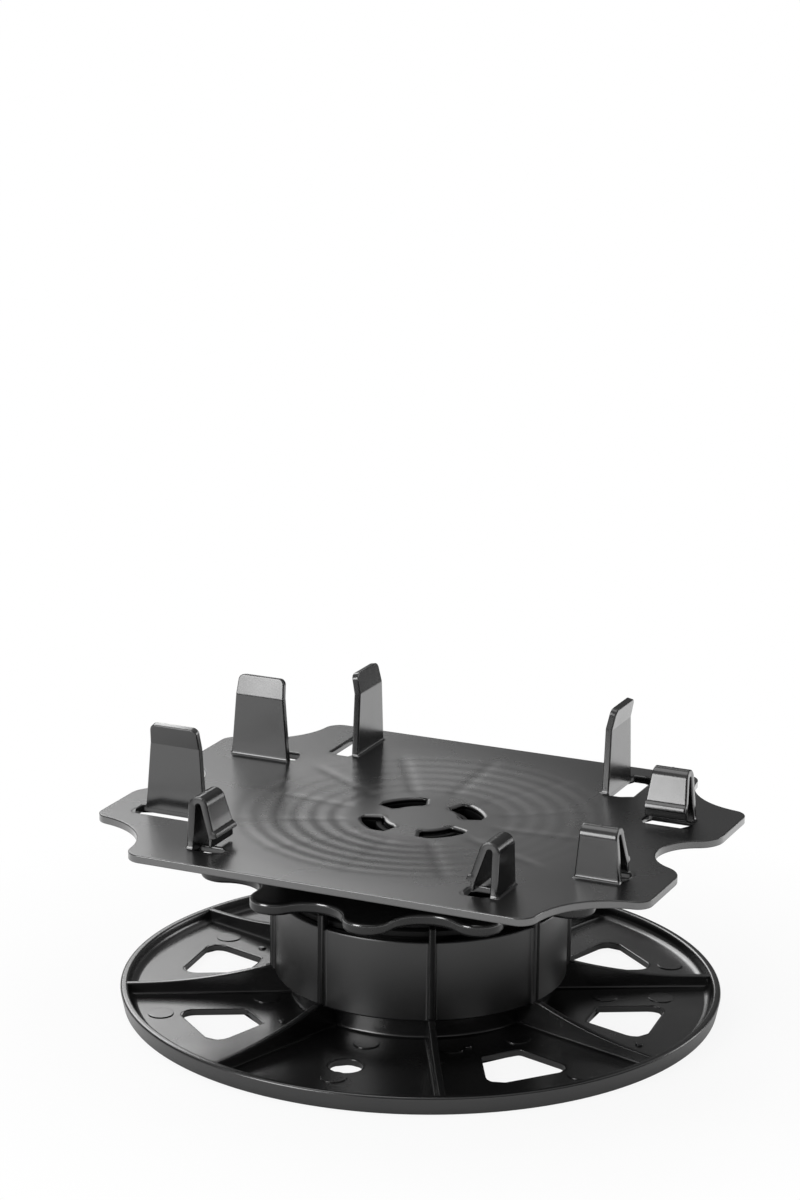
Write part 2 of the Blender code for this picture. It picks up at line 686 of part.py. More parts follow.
for number, placing in enumerate(tab_places, start=1):
    tab = upright_section(f"guide_tab_{number}", tab_section, TAB_FOOT_WIDTH)
    front = prism("tab_front", tab_front, 4 * TAB_LIP_LENGTH, UPRIGHT)
    tab = combined(tab, front, "INTERSECT")
    hung_on_axis(tab, placing @ Matrix.Translation((0.0, TAB_THICK / 2, 0.0)), tab_material)

# Clip legs: springy strips that slope into the channel from the fold, with a barb and a tongue
# that hangs straight down below it
leg_material = plastic("clip_leg_plastic", 0.014, 0.33)
root_radius = CLIP_FOLD_RADIUS - CLIP_THICK / 2
root_y = fold_y + root_radius * math.cos(CLIP_LEG_ANGLE)
root_z = fold_z + root_radius * math.sin(CLIP_LEG_ANGLE)
tongue_root = CLIP_TIP_HEIGHT + CLIP_TONGUE_LENGTH
leg_length = (root_z - tongue_root) / math.cos(CLIP_LEG_ANGLE)
leg_half = CLIP_LEG_THICK / 2
tongue_face = CLIP_TONGUE_THICK - leg_half
tongue_back = CLIP_TONGUE_LENGTH * math.sin(CLIP_LEG_ANGLE)
tongue_end = leg_length + CLIP_TONGUE_LENGTH * math.cos(CLIP_LEG_ANGLE)
leg_drawn = [
    (-leg_half, GAP),
    (-leg_half, leg_length),
    (-leg_half - tongue_back, tongue_end),
    (tongue_face - tongue_back, tongue_end),
    (tongue_face, leg_length),
    (leg_half + CLIP_BARB, leg_length),
    (leg_half + CLIP_BARB, leg_length - CLIP_BARB_LENGTH + CLIP_BARB),
    (leg_half, leg_length - CLIP_BARB_LENGTH),
    (leg_half, GAP),
]
leg_section = []
for across, along in leg_drawn:
    leg_section.append((
        across * math.cos(CLIP_LEG_ANGLE) + along * math.sin(CLIP_LEG_ANGLE),
        across * math.sin(CLIP_LEG_ANGLE) - along * math.cos(CLIP_LEG_ANGLE),
    ))
for number, placing in enumerate(clip_places, start=1):
    leg = clip_strip(f"clip_leg_{number}", leg_section, root_z)
    hung_on_axis(leg, placing @ Matrix.Translation((0.0, root_y, root_z)), leg_material)

# Snap hooks: curved fingers under the plate that catch below the head's hole
hook_material = plastic("hook_plastic", 0.012, 0.38)
barb_top = HEAD_UNDERSIDE - GAP
hook_bottom = barb_top - HOOK_BARB_HEIGHT
hook_middle = HOOK_RADIUS - HOOK_WALL / 2
hook_section = [
    (HOOK_RADIUS - HOOK_WALL, PLATE_BOTTOM - GAP),
    (HOOK_RADIUS - HOOK_WALL, hook_bottom),
    (HOOK_RADIUS - HOOK_TIP_TAPER, hook_bottom),
    (HOOK_RADIUS + HOOK_BARB, barb_top - HOOK_TIP_TAPER / 2),
    (HOOK_RADIUS + HOOK_BARB, barb_top),
    (HOOK_RADIUS, barb_top),
    (HOOK_RADIUS, PLATE_BOTTOM - GAP),
]
for number, placing in enumerate(around(4, math.pi / 4), start=1):
    hook = swept(f"snap_hook_{number}", hook_section, -HOOK_SPAN / 2, HOOK_SPAN, 0.0, RING_STEPS)
    root = Matrix.Translation((hook_middle, 0.0, PLATE_BOTTOM))
    hook.data.transform(root.inverted())
    hung_on_axis(hook, placing @ root, hook_material)
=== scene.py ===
import math

import bmesh
import bpy
import numpy as np
from mathutils import Matrix
from mathutils import Vector
from mathutils.geometry import delaunay_2d_cdt


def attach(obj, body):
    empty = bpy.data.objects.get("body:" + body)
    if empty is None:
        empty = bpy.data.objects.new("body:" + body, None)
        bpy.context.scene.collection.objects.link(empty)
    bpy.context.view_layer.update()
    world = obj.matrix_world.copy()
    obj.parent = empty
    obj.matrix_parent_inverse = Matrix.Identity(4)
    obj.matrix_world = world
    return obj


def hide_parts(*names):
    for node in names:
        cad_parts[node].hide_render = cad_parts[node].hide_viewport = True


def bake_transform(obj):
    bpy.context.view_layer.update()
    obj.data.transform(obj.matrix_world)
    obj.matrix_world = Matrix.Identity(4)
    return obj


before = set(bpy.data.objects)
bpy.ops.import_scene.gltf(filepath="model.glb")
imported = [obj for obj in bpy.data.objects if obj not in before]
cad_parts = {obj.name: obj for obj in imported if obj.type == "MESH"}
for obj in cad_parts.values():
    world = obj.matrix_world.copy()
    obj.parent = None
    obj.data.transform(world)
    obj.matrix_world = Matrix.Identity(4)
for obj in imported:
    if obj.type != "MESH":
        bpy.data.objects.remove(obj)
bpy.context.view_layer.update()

# Base: the round foot that stands on the ground, moulded in one shot from black polypropylene.
# A thin floor with drain cut-outs carries a rim, eight ribs with fins, a neck and the tower,
# and the tower has a coarse thread inside. The other pieces stand on it.
MM = 0.001
HOLD = 0.25  # how far the points that keep a face flat stand from its edge


def arc(centre_x, centre_y, radius, start, end, steps):
    """Points on a circle between two angles in degrees, both ends included."""
    points = []
    for step in range(steps + 1):
        angle = math.radians(start + (end - start) * step / steps)
        points.append((centre_x + radius * math.cos(angle), centre_y + radius * math.sin(angle)))
    return points


def circle(centre_x, centre_y, radius, steps):
    """Closed outline of a circle."""
    return arc(centre_x, centre_y, radius, 0, 360, steps)[:-1]


def softened(corners, steps=5):
    """Closed outline whose corners (x, y, radius) are rounded with arcs."""
    outline = []
    count = len(corners)
    for index, (x, y, radius) in enumerate(corners):
        corner = Vector((x, y))
        if radius == 0:
            outline.append((x, y))
            continue
        before = (Vector(corners[index - 1][:2]) - corner).normalized()
        after = (Vector(corners[(index + 1) % count][:2]) - corner).normalized()
        half = before.angle(after) / 2
        centre = corner + (before + after).normalized() * (radius / math.sin(half))
        first = corner + before * (radius / math.tan(half)) - centre
        last = corner + after * (radius / math.tan(half)) - centre
        turn = first.angle_signed(last)
        for step in range(steps + 1):
            point = centre + Matrix.Rotation(-turn * step / steps, 2) @ first
            outline.append((point.x, point.y))
    return outline


def held(outline):
    """Outline with a point close to both ends of each long run, so that flat faces shade flat."""
    result = []
    for here, after in zip(outline, outline[1:] + outline[:1]):
        result.append(here)
        run = math.dist(here, after)
        if run > 4 * HOLD:
            for share in (HOLD / run, 1 - HOLD / run):
                x = here[0] + (after[0] - here[0]) * share
                y = here[1] + (after[1] - here[1]) * share
                result.append((x, y))
    return result


def paced(outline, pace):
    """Outline with no run longer than a pace."""
    result = []
    for here, after in zip(outline, outline[1:] + outline[:1]):
        steps = max(1, math.ceil(math.dist(here, after) / pace))
        for step in range(steps):
            share = step / steps
            x = here[0] + (after[0] - here[0]) * share
            y = here[1] + (after[1] - here[1]) * share
            result.append((x, y))
    return result


def skin(rings, closed):
    """Faces between neighbouring rings of points; closed joins the last ring to the first."""
    count = len(rings[0])
    points = [tuple(point) for ring in rings for point in ring]
    faces = []
    rows = len(rings) if closed else len(rings) - 1
    for row in range(rows):
        here = row * count
        there = (row + 1) % len(rings) * count
        for index in range(count):
            beside = (index + 1) % count
            faces.append((here + index, here + beside, there + beside, there + index))
    if not closed:
        faces.append(tuple(range(count)))
        faces.append(tuple(range(len(points) - count, len(points))))
    return points, faces


def turned(section, steps=192):
    """Closed section (radius, height) turned once about the middle axis."""
    rings = []
    for step in range(steps):
        angle = math.tau * step / steps
        rings.append([(r * math.cos(angle), r * math.sin(angle), z) for r, z in section])
    return skin(rings, True)


def inside(points, outline):
    """True for each point that lies within a closed outline."""
    within = np.zeros(len(points), bool)
    for (x0, y0), (x1, y1) in zip(outline, outline[1:] + outline[:1]):
        if y0 == y1:
            continue
        crosses = (points[:, 1] > min(y0, y1)) & (points[:, 1] <= max(y0, y1))
        reach = x0 + (points[:, 1] - y0) * (x1 - x0) / (y1 - y0)
        within ^= crosses & (points[:, 0] < reach)
    return within


ROUND_STEPS = 5


def rounding(edge, low, high):
    """Steps (inset, height) down the side of a flat form, with both of its edges rounded."""
    steps = [(edge + HOLD, high)]
    for step in range(ROUND_STEPS + 1):
        angle = math.pi / 2 * step / ROUND_STEPS
        steps.append((edge - edge * math.sin(angle), high - edge + edge * math.cos(angle)))
    if high - low > 2 * edge + 3 * HOLD:
        steps.append((0.0, high - edge - HOLD))
        steps.append((0.0, low + edge + HOLD))
    for step in range(ROUND_STEPS + 1):
        angle = math.pi / 2 * step / ROUND_STEPS
        steps.append((edge - edge * math.cos(angle), low + edge - edge * math.sin(angle)))
    steps.append((edge + HOLD, low))
    return steps


CLOSE = 1e-6  # points nearer than this are taken as one
INNER_TRIANGLES = 1


def slab(outer, holes, low, high, edge, lips=(), fill=(), lift=None):
    """Flat form between two heights with all its edges rounded.

    Lips rounds the edges of each hole, where they differ from the outer edge. Fill adds points
    to the upper face, and lift(x, y) raises or lowers that face.
    """
    points = []
    faces = []
    upper_loops = []
    lower_loops = []
    for number, loop in enumerate([outer] + list(holes)):
        around = zip(loop, loop[1:] + loop[:1])
        area = sum(here[0] * after[1] - after[0] * here[1] for here, after in around)
        if (area > 0) == (number > 0):
            loop = loop[::-1]
        flat = np.array(loop)
        along = np.roll(flat, -1, 0) - flat
        along /= np.linalg.norm(along, axis=1)[:, None]
        outward = np.stack([along[:, 1], -along[:, 0]], 1)
        before = np.roll(outward, 1, 0)
        mitre = (outward + before) / (1 + (outward * before).sum(1))[:, None]
        count = len(loop)
        first = len(points)
        rings = rounding(lips[number - 1] if number and lips else edge, low, high)
        for inset, height in rings:
            points += [(x, y, height) for x, y in flat - mitre * inset]
        for row in range(len(rings) - 1):
            here = first + row * count
            for index in range(count):
                beside = (index + 1) % count
                faces.append((here + index, here + beside, here + count + beside, here + count + index))
        upper_loops.append((first, count))
        lower_loops.append((first + (len(rings) - 1) * count, count))
    for loops, extra in ((upper_loops, fill), (lower_loops, ())):
        used = []
        borders = []
        for first, count in loops:
            start = len(used)
            used += range(first, first + count)
            borders += [(start + index, start + (index + 1) % count) for index in range(count)]
        for x, y in extra:
            used.append(len(points))
            points.append((x, y, high))
        flat = [Vector(points[index][:2]) for index in used]
        filled = delaunay_2d_cdt(flat, borders, [], INNER_TRIANGLES, CLOSE)
        spots = filled[0]
        triangles = filled[2]
        sources = filled[3]
        middles = []
        for triangle in triangles:
            middles.append(sum((spots[corner] for corner in triangle), Vector((0, 0))) / 3)
        middles = np.array(middles)
        solid = inside(middles, list(outer))
        for hole in holes:
            solid &= ~inside(middles, list(hole))
        for triangle, wanted in zip(triangles, solid):
            if wanted:
                faces.append(tuple(used[sources[corner][0]] for corner in triangle))
    if lift:
        points = [(x, y, z + lift(x, y) * (z - low) / (high - low)) for x, y, z in points]
    return points, faces


def placed(shape, angle, shift=(0.0, 0.0, 0.0)):
    """Shape turned about the middle axis by degrees and then shifted."""
    cos = math.cos(math.radians(angle))
    sin = math.sin(math.radians(angle))
    points = []
    for x, y, z in shape[0]:
        points.append((x * cos - y * sin + shift[0], x * sin + y * cos + shift[1], z + shift[2]))
    return points, shape[1]


def outline_at(outline, angle, x=0.0, y=0.0):
    """Flat outline turned about the middle axis by degrees and then shifted."""
    moved = placed(([(p, q, 0.0) for p, q in outline], []), angle, (x, y, 0.0))
    return [(p, q) for p, q, height in moved[0]]


CREASE = 38  # edges that turn by more degrees than this stay crisp


def piece_of(name, shapes, material):
    """One object made of several shapes that are given in millimetres."""
    points = []
    faces = []
    for shape_points, shape_faces in shapes:
        first = len(points)
        points += [(x * MM, y * MM, z * MM) for x, y, z in shape_points]
        faces += [tuple(first + corner for corner in face) for face in shape_faces]
    mesh = bpy.data.meshes.new(name)
    mesh.from_pydata(points, [], faces)
    form = bmesh.new()
    form.from_mesh(mesh)
    bmesh.ops.recalc_face_normals(form, faces=form.faces)
    form.to_mesh(mesh)
    form.free()
    mesh.shade_smooth()
    mesh.set_sharp_from_angle(angle=math.radians(CREASE))
    mesh.materials.append(material)
    piece = bpy.data.objects.new(name, mesh)
    bpy.context.scene.collection.objects.link(piece)
    return piece


def ramp_node(tree, value, low, high, least, most):
    """Output of a node that takes values between two limits to two others."""
    ramp = tree.nodes.new("ShaderNodeMapRange")
    ramp.inputs["From Min"].default_value = low
    ramp.inputs["From Max"].default_value = high
    ramp.inputs["To Min"].default_value = least
    ramp.inputs["To Max"].default_value = most
    tree.links.new(value, ramp.inputs["Value"])
    return ramp.outputs["Result"]


def moulded_black(name, shade, gloss_low, gloss_high, grain, shine=1.68, cloud_scale=45.0):
    """Black moulded plastic: cloudy gloss, a trace of shade and a fine spark-eroded grain."""
    material = bpy.data.materials.new(name)
    material.use_nodes = True
    nodes = material.node_tree.nodes
    links = material.node_tree.links
    shader = nodes["Principled BSDF"]
    shader.inputs["IOR"].default_value = shine
    place = nodes.new("ShaderNodeTexCoord")

    clouds = nodes.new("ShaderNodeTexNoise")
    clouds.inputs["Scale"].default_value = cloud_scale
    clouds.inputs["Detail"].default_value = 5.0
    clouds.inputs["Roughness"].default_value = 0.6
    links.new(place.outputs["Object"], clouds.inputs["Vector"])

    tint = nodes.new("ShaderNodeValToRGB")
    tint.color_ramp.elements[0].position = 0.35
    tint.color_ramp.elements[1].position = 0.68
    tint.color_ramp.elements[0].color = (shade * 0.75, shade * 0.76, shade * 0.80, 1.0)
    tint.color_ramp.elements[1].color = (shade * 1.30, shade * 1.29, shade * 1.28, 1.0)
    links.new(clouds.outputs["Fac"], tint.inputs["Fac"])
    links.new(tint.outputs["Color"], shader.inputs["Base Color"])

    gloss = ramp_node(material.node_tree, clouds.outputs["Fac"], 0.3, 0.7, gloss_low, gloss_high)
    links.new(gloss, shader.inputs["Roughness"])

    sparks = nodes.new("ShaderNodeTexNoise")
    sparks.inputs["Scale"].default_value = 2600.0
    sparks.inputs["Detail"].default_value = 2.0
    links.new(place.outputs["Object"], sparks.inputs["Vector"])
    relief = nodes.new("ShaderNodeBump")
    relief.inputs["Strength"].default_value = grain
    relief.inputs["Distance"].default_value = 0.00006
    links.new(sparks.outputs["Fac"], relief.inputs["Height"])
    links.new(relief.outputs["Normal"], shader.inputs["Normal"])
    return material


FLOOR_TOP = 2.3
FLOOR_RADIUS = 98.9
FLOOR_EDGE = 0.35
RIB_FIRST = 27.9
RIB_COUNT = 8
RIB_ANGLES = [RIB_FIRST + 360 / RIB_COUNT * index for index in range(RIB_COUNT)]
BURIED = 1.2  # height inside the floor at which the rim and the tower start

# Floor with six drain cut-outs that follow the ribs, and a round screw hole in the two others
DRAIN_INNER = 60.5
DRAIN_OUTER = 82.4
DRAIN_INNER_ROUND = 1.5
DRAIN_OUTER_ROUND = 4.5
DRAIN_FROM_RIB = 15.6
DRAIN_FROM_NEXT_RIB = 17.8
SCREW_HOLE_OUT = 71.2
SCREW_HOLE_ASIDE = -1.2
SCREW_HOLE_RADIUS = 5.6
SCREW_HOLE_SECTORS = (1, 5)
CENTRE_DRAIN_RADIUS = 6.0
sector_half = math.radians(180 / RIB_COUNT)
drain_sides = []
for distance in (DRAIN_INNER, DRAIN_OUTER):
    half_sector = distance * math.tan(sector_half)
    near_side = DRAIN_FROM_RIB / math.cos(sector_half) - half_sector
    far_side = half_sector - DRAIN_FROM_NEXT_RIB / math.cos(sector_half)
    drain_sides.append((near_side, far_side))
drain_outline = softened([
    (DRAIN_INNER, drain_sides[0][0], DRAIN_INNER_ROUND),
    (DRAIN_OUTER, drain_sides[1][0], DRAIN_OUTER_ROUND),
    (DRAIN_OUTER, drain_sides[1][1], DRAIN_OUTER_ROUND),
    (DRAIN_INNER, drain_sides[0][1], DRAIN_INNER_ROUND),
])
hole_outline = circle(SCREW_HOLE_OUT, SCREW_HOLE_ASIDE, SCREW_HOLE_RADIUS, 48)
floor_holes = [circle(0.0, 0.0, CENTRE_DRAIN_RADIUS, 48)]
for index, rib_angle in enumerate(RIB_ANGLES):
    outline = hole_outline if index in SCREW_HOLE_SECTORS else drain_outline
    floor_holes.append(outline_at(outline, rib_angle + 180 / RIB_COUNT))
floor_edge = circle(0.0, 0.0, FLOOR_RADIUS, 192)
base_shapes = [slab(floor_edge, floor_holes, 0.0, FLOOR_TOP, FLOOR_EDGE)]

# Rim: flares outward a little and runs into the floor with a wide fillet
RIM_FILLET = 2.5
RIM_FILLET_FOOT = 95.7
RIM_TOP = 6.2
RIM_EDGE = 0.8
RIM_REACH = 101.3
RIM_INNER_TOP = 98.5
RIM_INNER_FOOT = 98.2
FOOT_RADIUS = 100.0
FOOT_EDGE = 0.5
rim_section = [(RIM_FILLET_FOOT, BURIED)]
rim_section += arc(RIM_FILLET_FOOT, FLOOR_TOP + RIM_FILLET, RIM_FILLET, -90, 0, 6)
rim_section += softened([
    (RIM_INNER_TOP, RIM_TOP, RIM_EDGE), (RIM_REACH, RIM_TOP, RIM_EDGE),
    (FOOT_RADIUS, 0.0, FOOT_EDGE), (RIM_INNER_FOOT, 0.0, 0.0),
])
base_shapes.append(turned(held(rim_section)))

# Neck, ledge and tower wall in one turned section
NECK_BORE = 40.9
NECK_RADIUS = 43.3
NECK_FILLET = 1.0
LEDGE_LOW = 10.3
LEDGE_HIGH = 12.5
TOWER_RADIUS = 49.1
TOWER_BORE = 46.5
TOWER_TOP = 37.7
TOWER_EDGE = 0.7
BORE_EDGE = 0.5
fillet_middle = NECK_RADIUS + NECK_FILLET
edge_middle = TOWER_RADIUS - TOWER_EDGE
tower_section = [(NECK_BORE, BURIED), (fillet_middle, BURIED)]
tower_section += arc(fillet_middle, FLOOR_TOP + NECK_FILLET, NECK_FILLET, -90, -180, 5)
tower_section += arc(fillet_middle, LEDGE_LOW - NECK_FILLET, NECK_FILLET, 180, 90, 4)
tower_section += arc(edge_middle, LEDGE_LOW + TOWER_EDGE, TOWER_EDGE, -90, 0, 5)
tower_section += arc(edge_middle, TOWER_TOP - TOWER_EDGE, TOWER_EDGE, 0, 90, 4)
tower_section += arc(TOWER_BORE + BORE_EDGE, TOWER_TOP - BORE_EDGE, BORE_EDGE, 90, 180, 4)
tower_section += [(TOWER_BORE, LEDGE_HIGH), (NECK_BORE, LEDGE_HIGH)]
base_shapes.append(turned(held(tower_section)))

# Ribs: thin walls with a fillet at the floor and a rounded crest that climbs to the tower
RIB_START = 42.4
RIB_END = 99.2
RIB_FOOT_HALF = 1.3
RIB_TOP_HALF = 1.1
RIB_FILLET = 0.8
RIB_EDGE = 0.4
RIB_BURIED = 1.6
CREST_AT_RIM = 6.1
CREST_CLIMB = 6.0
CREST_SAG = 2.2
FIN_OUTER = 50.8
rib_foot = RIB_FOOT_HALF + RIB_FILLET
rib_edge_middle = RIB_EDGE - RIB_TOP_HALF
rib_rings = []
for radius in np.linspace(RIB_START, RIB_END, 30):
    climb = min(1.0, max(0.0, (RIM_INNER_TOP - radius) / (RIM_INNER_TOP - FIN_OUTER)))
    crest = CREST_AT_RIM + CREST_CLIMB * climb ** CREST_SAG
    side = [(-rib_foot, RIB_BURIED)]
    side += arc(-rib_foot, FLOOR_TOP + RIB_FILLET, RIB_FILLET, -90, 0, 4)
    side.append((0.01 - RIB_FOOT_HALF, FLOOR_TOP + RIB_FILLET + HOLD))
    side.append((-RIB_TOP_HALF, crest - RIB_EDGE - HOLD))
    side += arc(rib_edge_middle, crest - RIB_EDGE, RIB_EDGE, 180, 90, 4)
    side.append((rib_edge_middle + HOLD, crest))
    loop = side + [(-across, height) for across, height in reversed(side)]
    rib_rings.append([(radius, across, height) for across, height in loop])
rib = skin(rib_rings, False)

# Fins: each rib goes on up the tower and stands above its top, with a small fillet on both sides
FIN_INNER = 47.0
FIN_HALF = 1.1
FIN_LOW = 9.8
FIN_TOP = 42.7
FIN_EDGE = 0.5
FILLET_INNER = 48.6
FILLET_WALL = 49.05
FILLET_OUTER = 49.9
FILLET_SIDE = 2.05
FILLET_BURIED = 0.9
FILLET_ROUND = 0.85
FILLET_LOW = 10.9
FILLET_TOP = 37.2
fin_outline = softened([
    (FIN_INNER, -FIN_HALF, 0.8), (FIN_OUTER, -FIN_HALF, 0.9),
    (FIN_OUTER, FIN_HALF, 0.9), (FIN_INNER, FIN_HALF, 0.8),
])
fin = slab(fin_outline, [], FIN_LOW, FIN_TOP, FIN_EDGE)
fillet_outline = [(FILLET_INNER, FILLET_BURIED), (FILLET_INNER, FILLET_SIDE), (FILLET_WALL, FILLET_SIDE)]
fillet_outline += arc(FILLET_OUTER, FILLET_SIDE, FILLET_ROUND, 180, 270, 5)
fillet_outline.append((FILLET_OUTER, FILLET_BURIED))
fillet_mirrored = [(x, -y) for x, y in fillet_outline]
fin_fillets = []
for outline in (fillet_outline, fillet_mirrored):
    low_ring = [(x, y, FILLET_LOW) for x, y in outline]
    high_ring = [(x, y, FILLET_TOP) for x, y in outline]
    fin_fillets.append(skin([low_ring, high_ring], False))
for rib_angle in RIB_ANGLES:
    base_shapes.append(placed(rib, rib_angle))
    base_shapes.append(placed(fin, rib_angle))
    for fillet in fin_fillets:
        base_shapes.append(placed(fillet, rib_angle))

# Round marks of the ejector pins and four small moulding pips on the floor, each given by its
# distance from the middle and its bearing in degrees
MARK_RADIUS = 4.3
MARK_RISE = 0.32
MARK_EDGE = 0.14
PIP_RADIUS = 1.3
PIP_RISE = 0.7
PIP_EDGE = 0.5
MARK_BURIED = 1.4
MARK_PLACES = [
    (89.5, -139.9), (52.6, -144.8), (81.9, 169.1), (51.8, -85.8), (81.5, -85.7), (53.6, -29.8),
    (62.5, 19.3), (89.7, 40.1), (81.2, 20.1), (88.0, -30.8), (52.9, -55.4),
]
PIP_PLACES = [(65.8, 170.7), (52.9, -49.2), (85.1, -9.4), (54.9, -121.9)]
for radius, angle in MARK_PLACES:
    mark_edge = circle(radius, 0.0, MARK_RADIUS, 40)
    base_shapes.append(placed(slab(mark_edge, [], MARK_BURIED, FLOOR_TOP + MARK_RISE, MARK_EDGE), angle))
for radius, angle in PIP_PLACES:
    pip_edge = circle(radius, 0.0, PIP_RADIUS, 20)
    base_shapes.append(placed(slab(pip_edge, [], MARK_BURIED, FLOOR_TOP + PIP_RISE, PIP_EDGE), angle))

# Thread: a ridge inside the tower, of the same form as the one on the spindle that runs in it
PITCH = 6.0
RIDGE_HEIGHT = 2.0
RIDGE_ROOT = 3.2
RIDGE_CREST = 2.0
RIDGE_SUNK = 0.5
THREAD_END = 1.0
THREAD_PACE = 7.5
FADE_STEPS = 5
FADE_LEAST = 0.15


def thread(root, crest, low, high, in_step):
    """Helical ridge on a wall, from the root radius to the crest, that fades out at both ends."""
    first = low + RIDGE_ROOT / 2
    climb = high - low - RIDGE_ROOT
    start = (first - in_step) / PITCH * 360
    angle = climb / PITCH * 360
    steps = round(angle / THREAD_PACE)
    sunk = math.copysign(RIDGE_SUNK, root - crest)
    rings = []
    for step in range(steps + 1):
        share = step / steps
        fade_in = FADE_LEAST + share * steps / FADE_STEPS
        fade_out = FADE_LEAST + (1 - share) * steps / FADE_STEPS
        top = root + (crest - root) * min(1.0, fade_in, fade_out)
        shoulder = top - (top - root) * 0.12
        turn = math.radians(start + angle * share)
        height = first + climb * share
        flank = [(root + sunk, RIDGE_ROOT / 2), (root, RIDGE_ROOT / 2)]
        flank += [(shoulder, RIDGE_CREST / 2 + 0.08), (top, RIDGE_CREST / 2 - 0.2)]
        section = [(r, -z) for r, z in flank] + flank[::-1]
        rings.append([(r * math.cos(turn), r * math.sin(turn), height + z) for r, z in section])
    return skin(rings, False)


thread_low = LEDGE_HIGH + THREAD_END
thread_high = TOWER_TOP - THREAD_END
base_shapes.append(thread(TOWER_BORE, TOWER_BORE - RIDGE_HEIGHT, thread_low, thread_high, thread_low))

# Finish: satin on floor and ribs and duller on the tower's wall. The fins' outer edges are darker,
# rougher and far less reflective.
FIN_DARK_LOW = 11.5
FIN_DARK_OUT = 50.55
TOWER_FINISH_LOW = 10.9
TOWER_FINISH_OUT = 48.8
base_black = moulded_black("base_black", 0.0070, 0.22, 0.28, 0.03)
fin_black = moulded_black("fin_black", 0.0050, 0.50, 0.60, 0.12, 1.28)
tower_black = moulded_black("tower_black", 0.0070, 0.33, 0.39, 0.03)
base_piece = piece_of("base_moulding", base_shapes, base_black)
base_piece.data.materials.append(fin_black)
base_piece.data.materials.append(tower_black)
for face in base_piece.data.polygons:
    from_middle = face.center.xy.length
    if face.center.z > FIN_DARK_LOW * MM and from_middle > FIN_DARK_OUT * MM:
        face.material_index = 1
    elif face.center.z > TOWER_FINISH_LOW * MM and from_middle > TOWER_FINISH_OUT * MM:
        face.material_index = 2
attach(base_piece, "base")
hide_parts("base")

# Adjusting wheel: a hand wheel with twelve finger lobes and the threaded spindle below it, one
# moulding of the same black plastic. The spindle screws down into the tower of the base.
WHEEL_LOW = 48.3
WHEEL_HIGH = 52.5
SPINDLE_RADIUS = 43.8
SPINDLE_BORE = 41.0
SPINDLE_LOW = 17.3
SPINDLE_TOP = WHEEL_HIGH - 2.2
SPINDLE_FILLET = 1.2
SPINDLE_BURIED = 0.8
SNAP_STEP = 0.8
SNAP_STEP_HEIGHT = WHEEL_HIGH - 6.5
WHEEL_EDGE = 1.1
WHEEL_BORE_EDGE = 0.5
LOBES = 12
LOBE_FIRST = 9.1
LOBE_ROUND = 8.1
LOBE_TIP = 75.2
LOBE_VALLEY = 62.8
lobe_centre = LOBE_TIP - LOBE_ROUND
lobe_half = math.radians(180 / LOBES)
valley_inner = LOBE_VALLEY - LOBE_ROUND
valley_reach = 2 * (lobe_centre * math.cos(lobe_half) - valley_inner)
valley_centre = (lobe_centre ** 2 - valley_inner ** 2) / valley_reach
valley_round = valley_centre - LOBE_VALLEY
lobe_turn = math.degrees(math.atan2(
    valley_centre * math.sin(lobe_half), valley_centre * math.cos(lobe_half) - lobe_centre))
lobe_outline = []
for index in range(LOBES):
    lobe_angle = LOBE_FIRST + 360 / LOBES * index
    valley_angle = lobe_angle + 180 / LOBES
    lobe_x = lobe_centre * math.cos(math.radians(lobe_angle))
    lobe_y = lobe_centre * math.sin(math.radians(lobe_angle))
    valley_x = valley_centre * math.cos(math.radians(valley_angle))
    valley_y = valley_centre * math.sin(math.radians(valley_angle))
    lobe_start = lobe_angle - lobe_turn
    lobe_end = lobe_angle + lobe_turn
    valley_end = valley_angle + 180 / LOBES - lobe_turn + 180
    lobe_outline += arc(lobe_x, lobe_y, LOBE_ROUND, lobe_start, lobe_end, 18)
    lobe_outline += arc(valley_x, valley_y, valley_round, lobe_end + 180, valley_end, 14)[1:-1]
bore_outline = circle(0.0, 0.0, SPINDLE_BORE, 128)
wheel_shapes = [slab(lobe_outline, [bore_outline], WHEEL_LOW, WHEEL_HIGH, WHEEL_EDGE, [WHEEL_BORE_EDGE])]
spindle_section = softened([
    (SPINDLE_BORE, SPINDLE_TOP, 0.0), (SPINDLE_RADIUS, SPINDLE_TOP, 0.0),
    (SPINDLE_RADIUS, SPINDLE_LOW, 0.5), (SPINDLE_BORE + SNAP_STEP, SPINDLE_LOW, 0.4),
    (SPINDLE_BORE + SNAP_STEP, SNAP_STEP_HEIGHT, 0.0), (SPINDLE_BORE, SNAP_STEP_HEIGHT, 0.0),
])
wheel_shapes.append(turned(held(spindle_section)))
fillet_low = WHEEL_LOW - SPINDLE_FILLET
fillet_reach = SPINDLE_RADIUS + SPINDLE_FILLET
wheel_fillet = [(SPINDLE_RADIUS - SPINDLE_BURIED, fillet_low), (SPINDLE_RADIUS, fillet_low)]
wheel_fillet += arc(fillet_reach, fillet_low, SPINDLE_FILLET, 180, 90, 4)
wheel_fillet.append((fillet_reach, WHEEL_LOW + SPINDLE_BURIED))
wheel_fillet.append((SPINDLE_RADIUS - SPINDLE_BURIED, WHEEL_LOW + SPINDLE_BURIED))
wheel_shapes.append(turned(wheel_fillet))

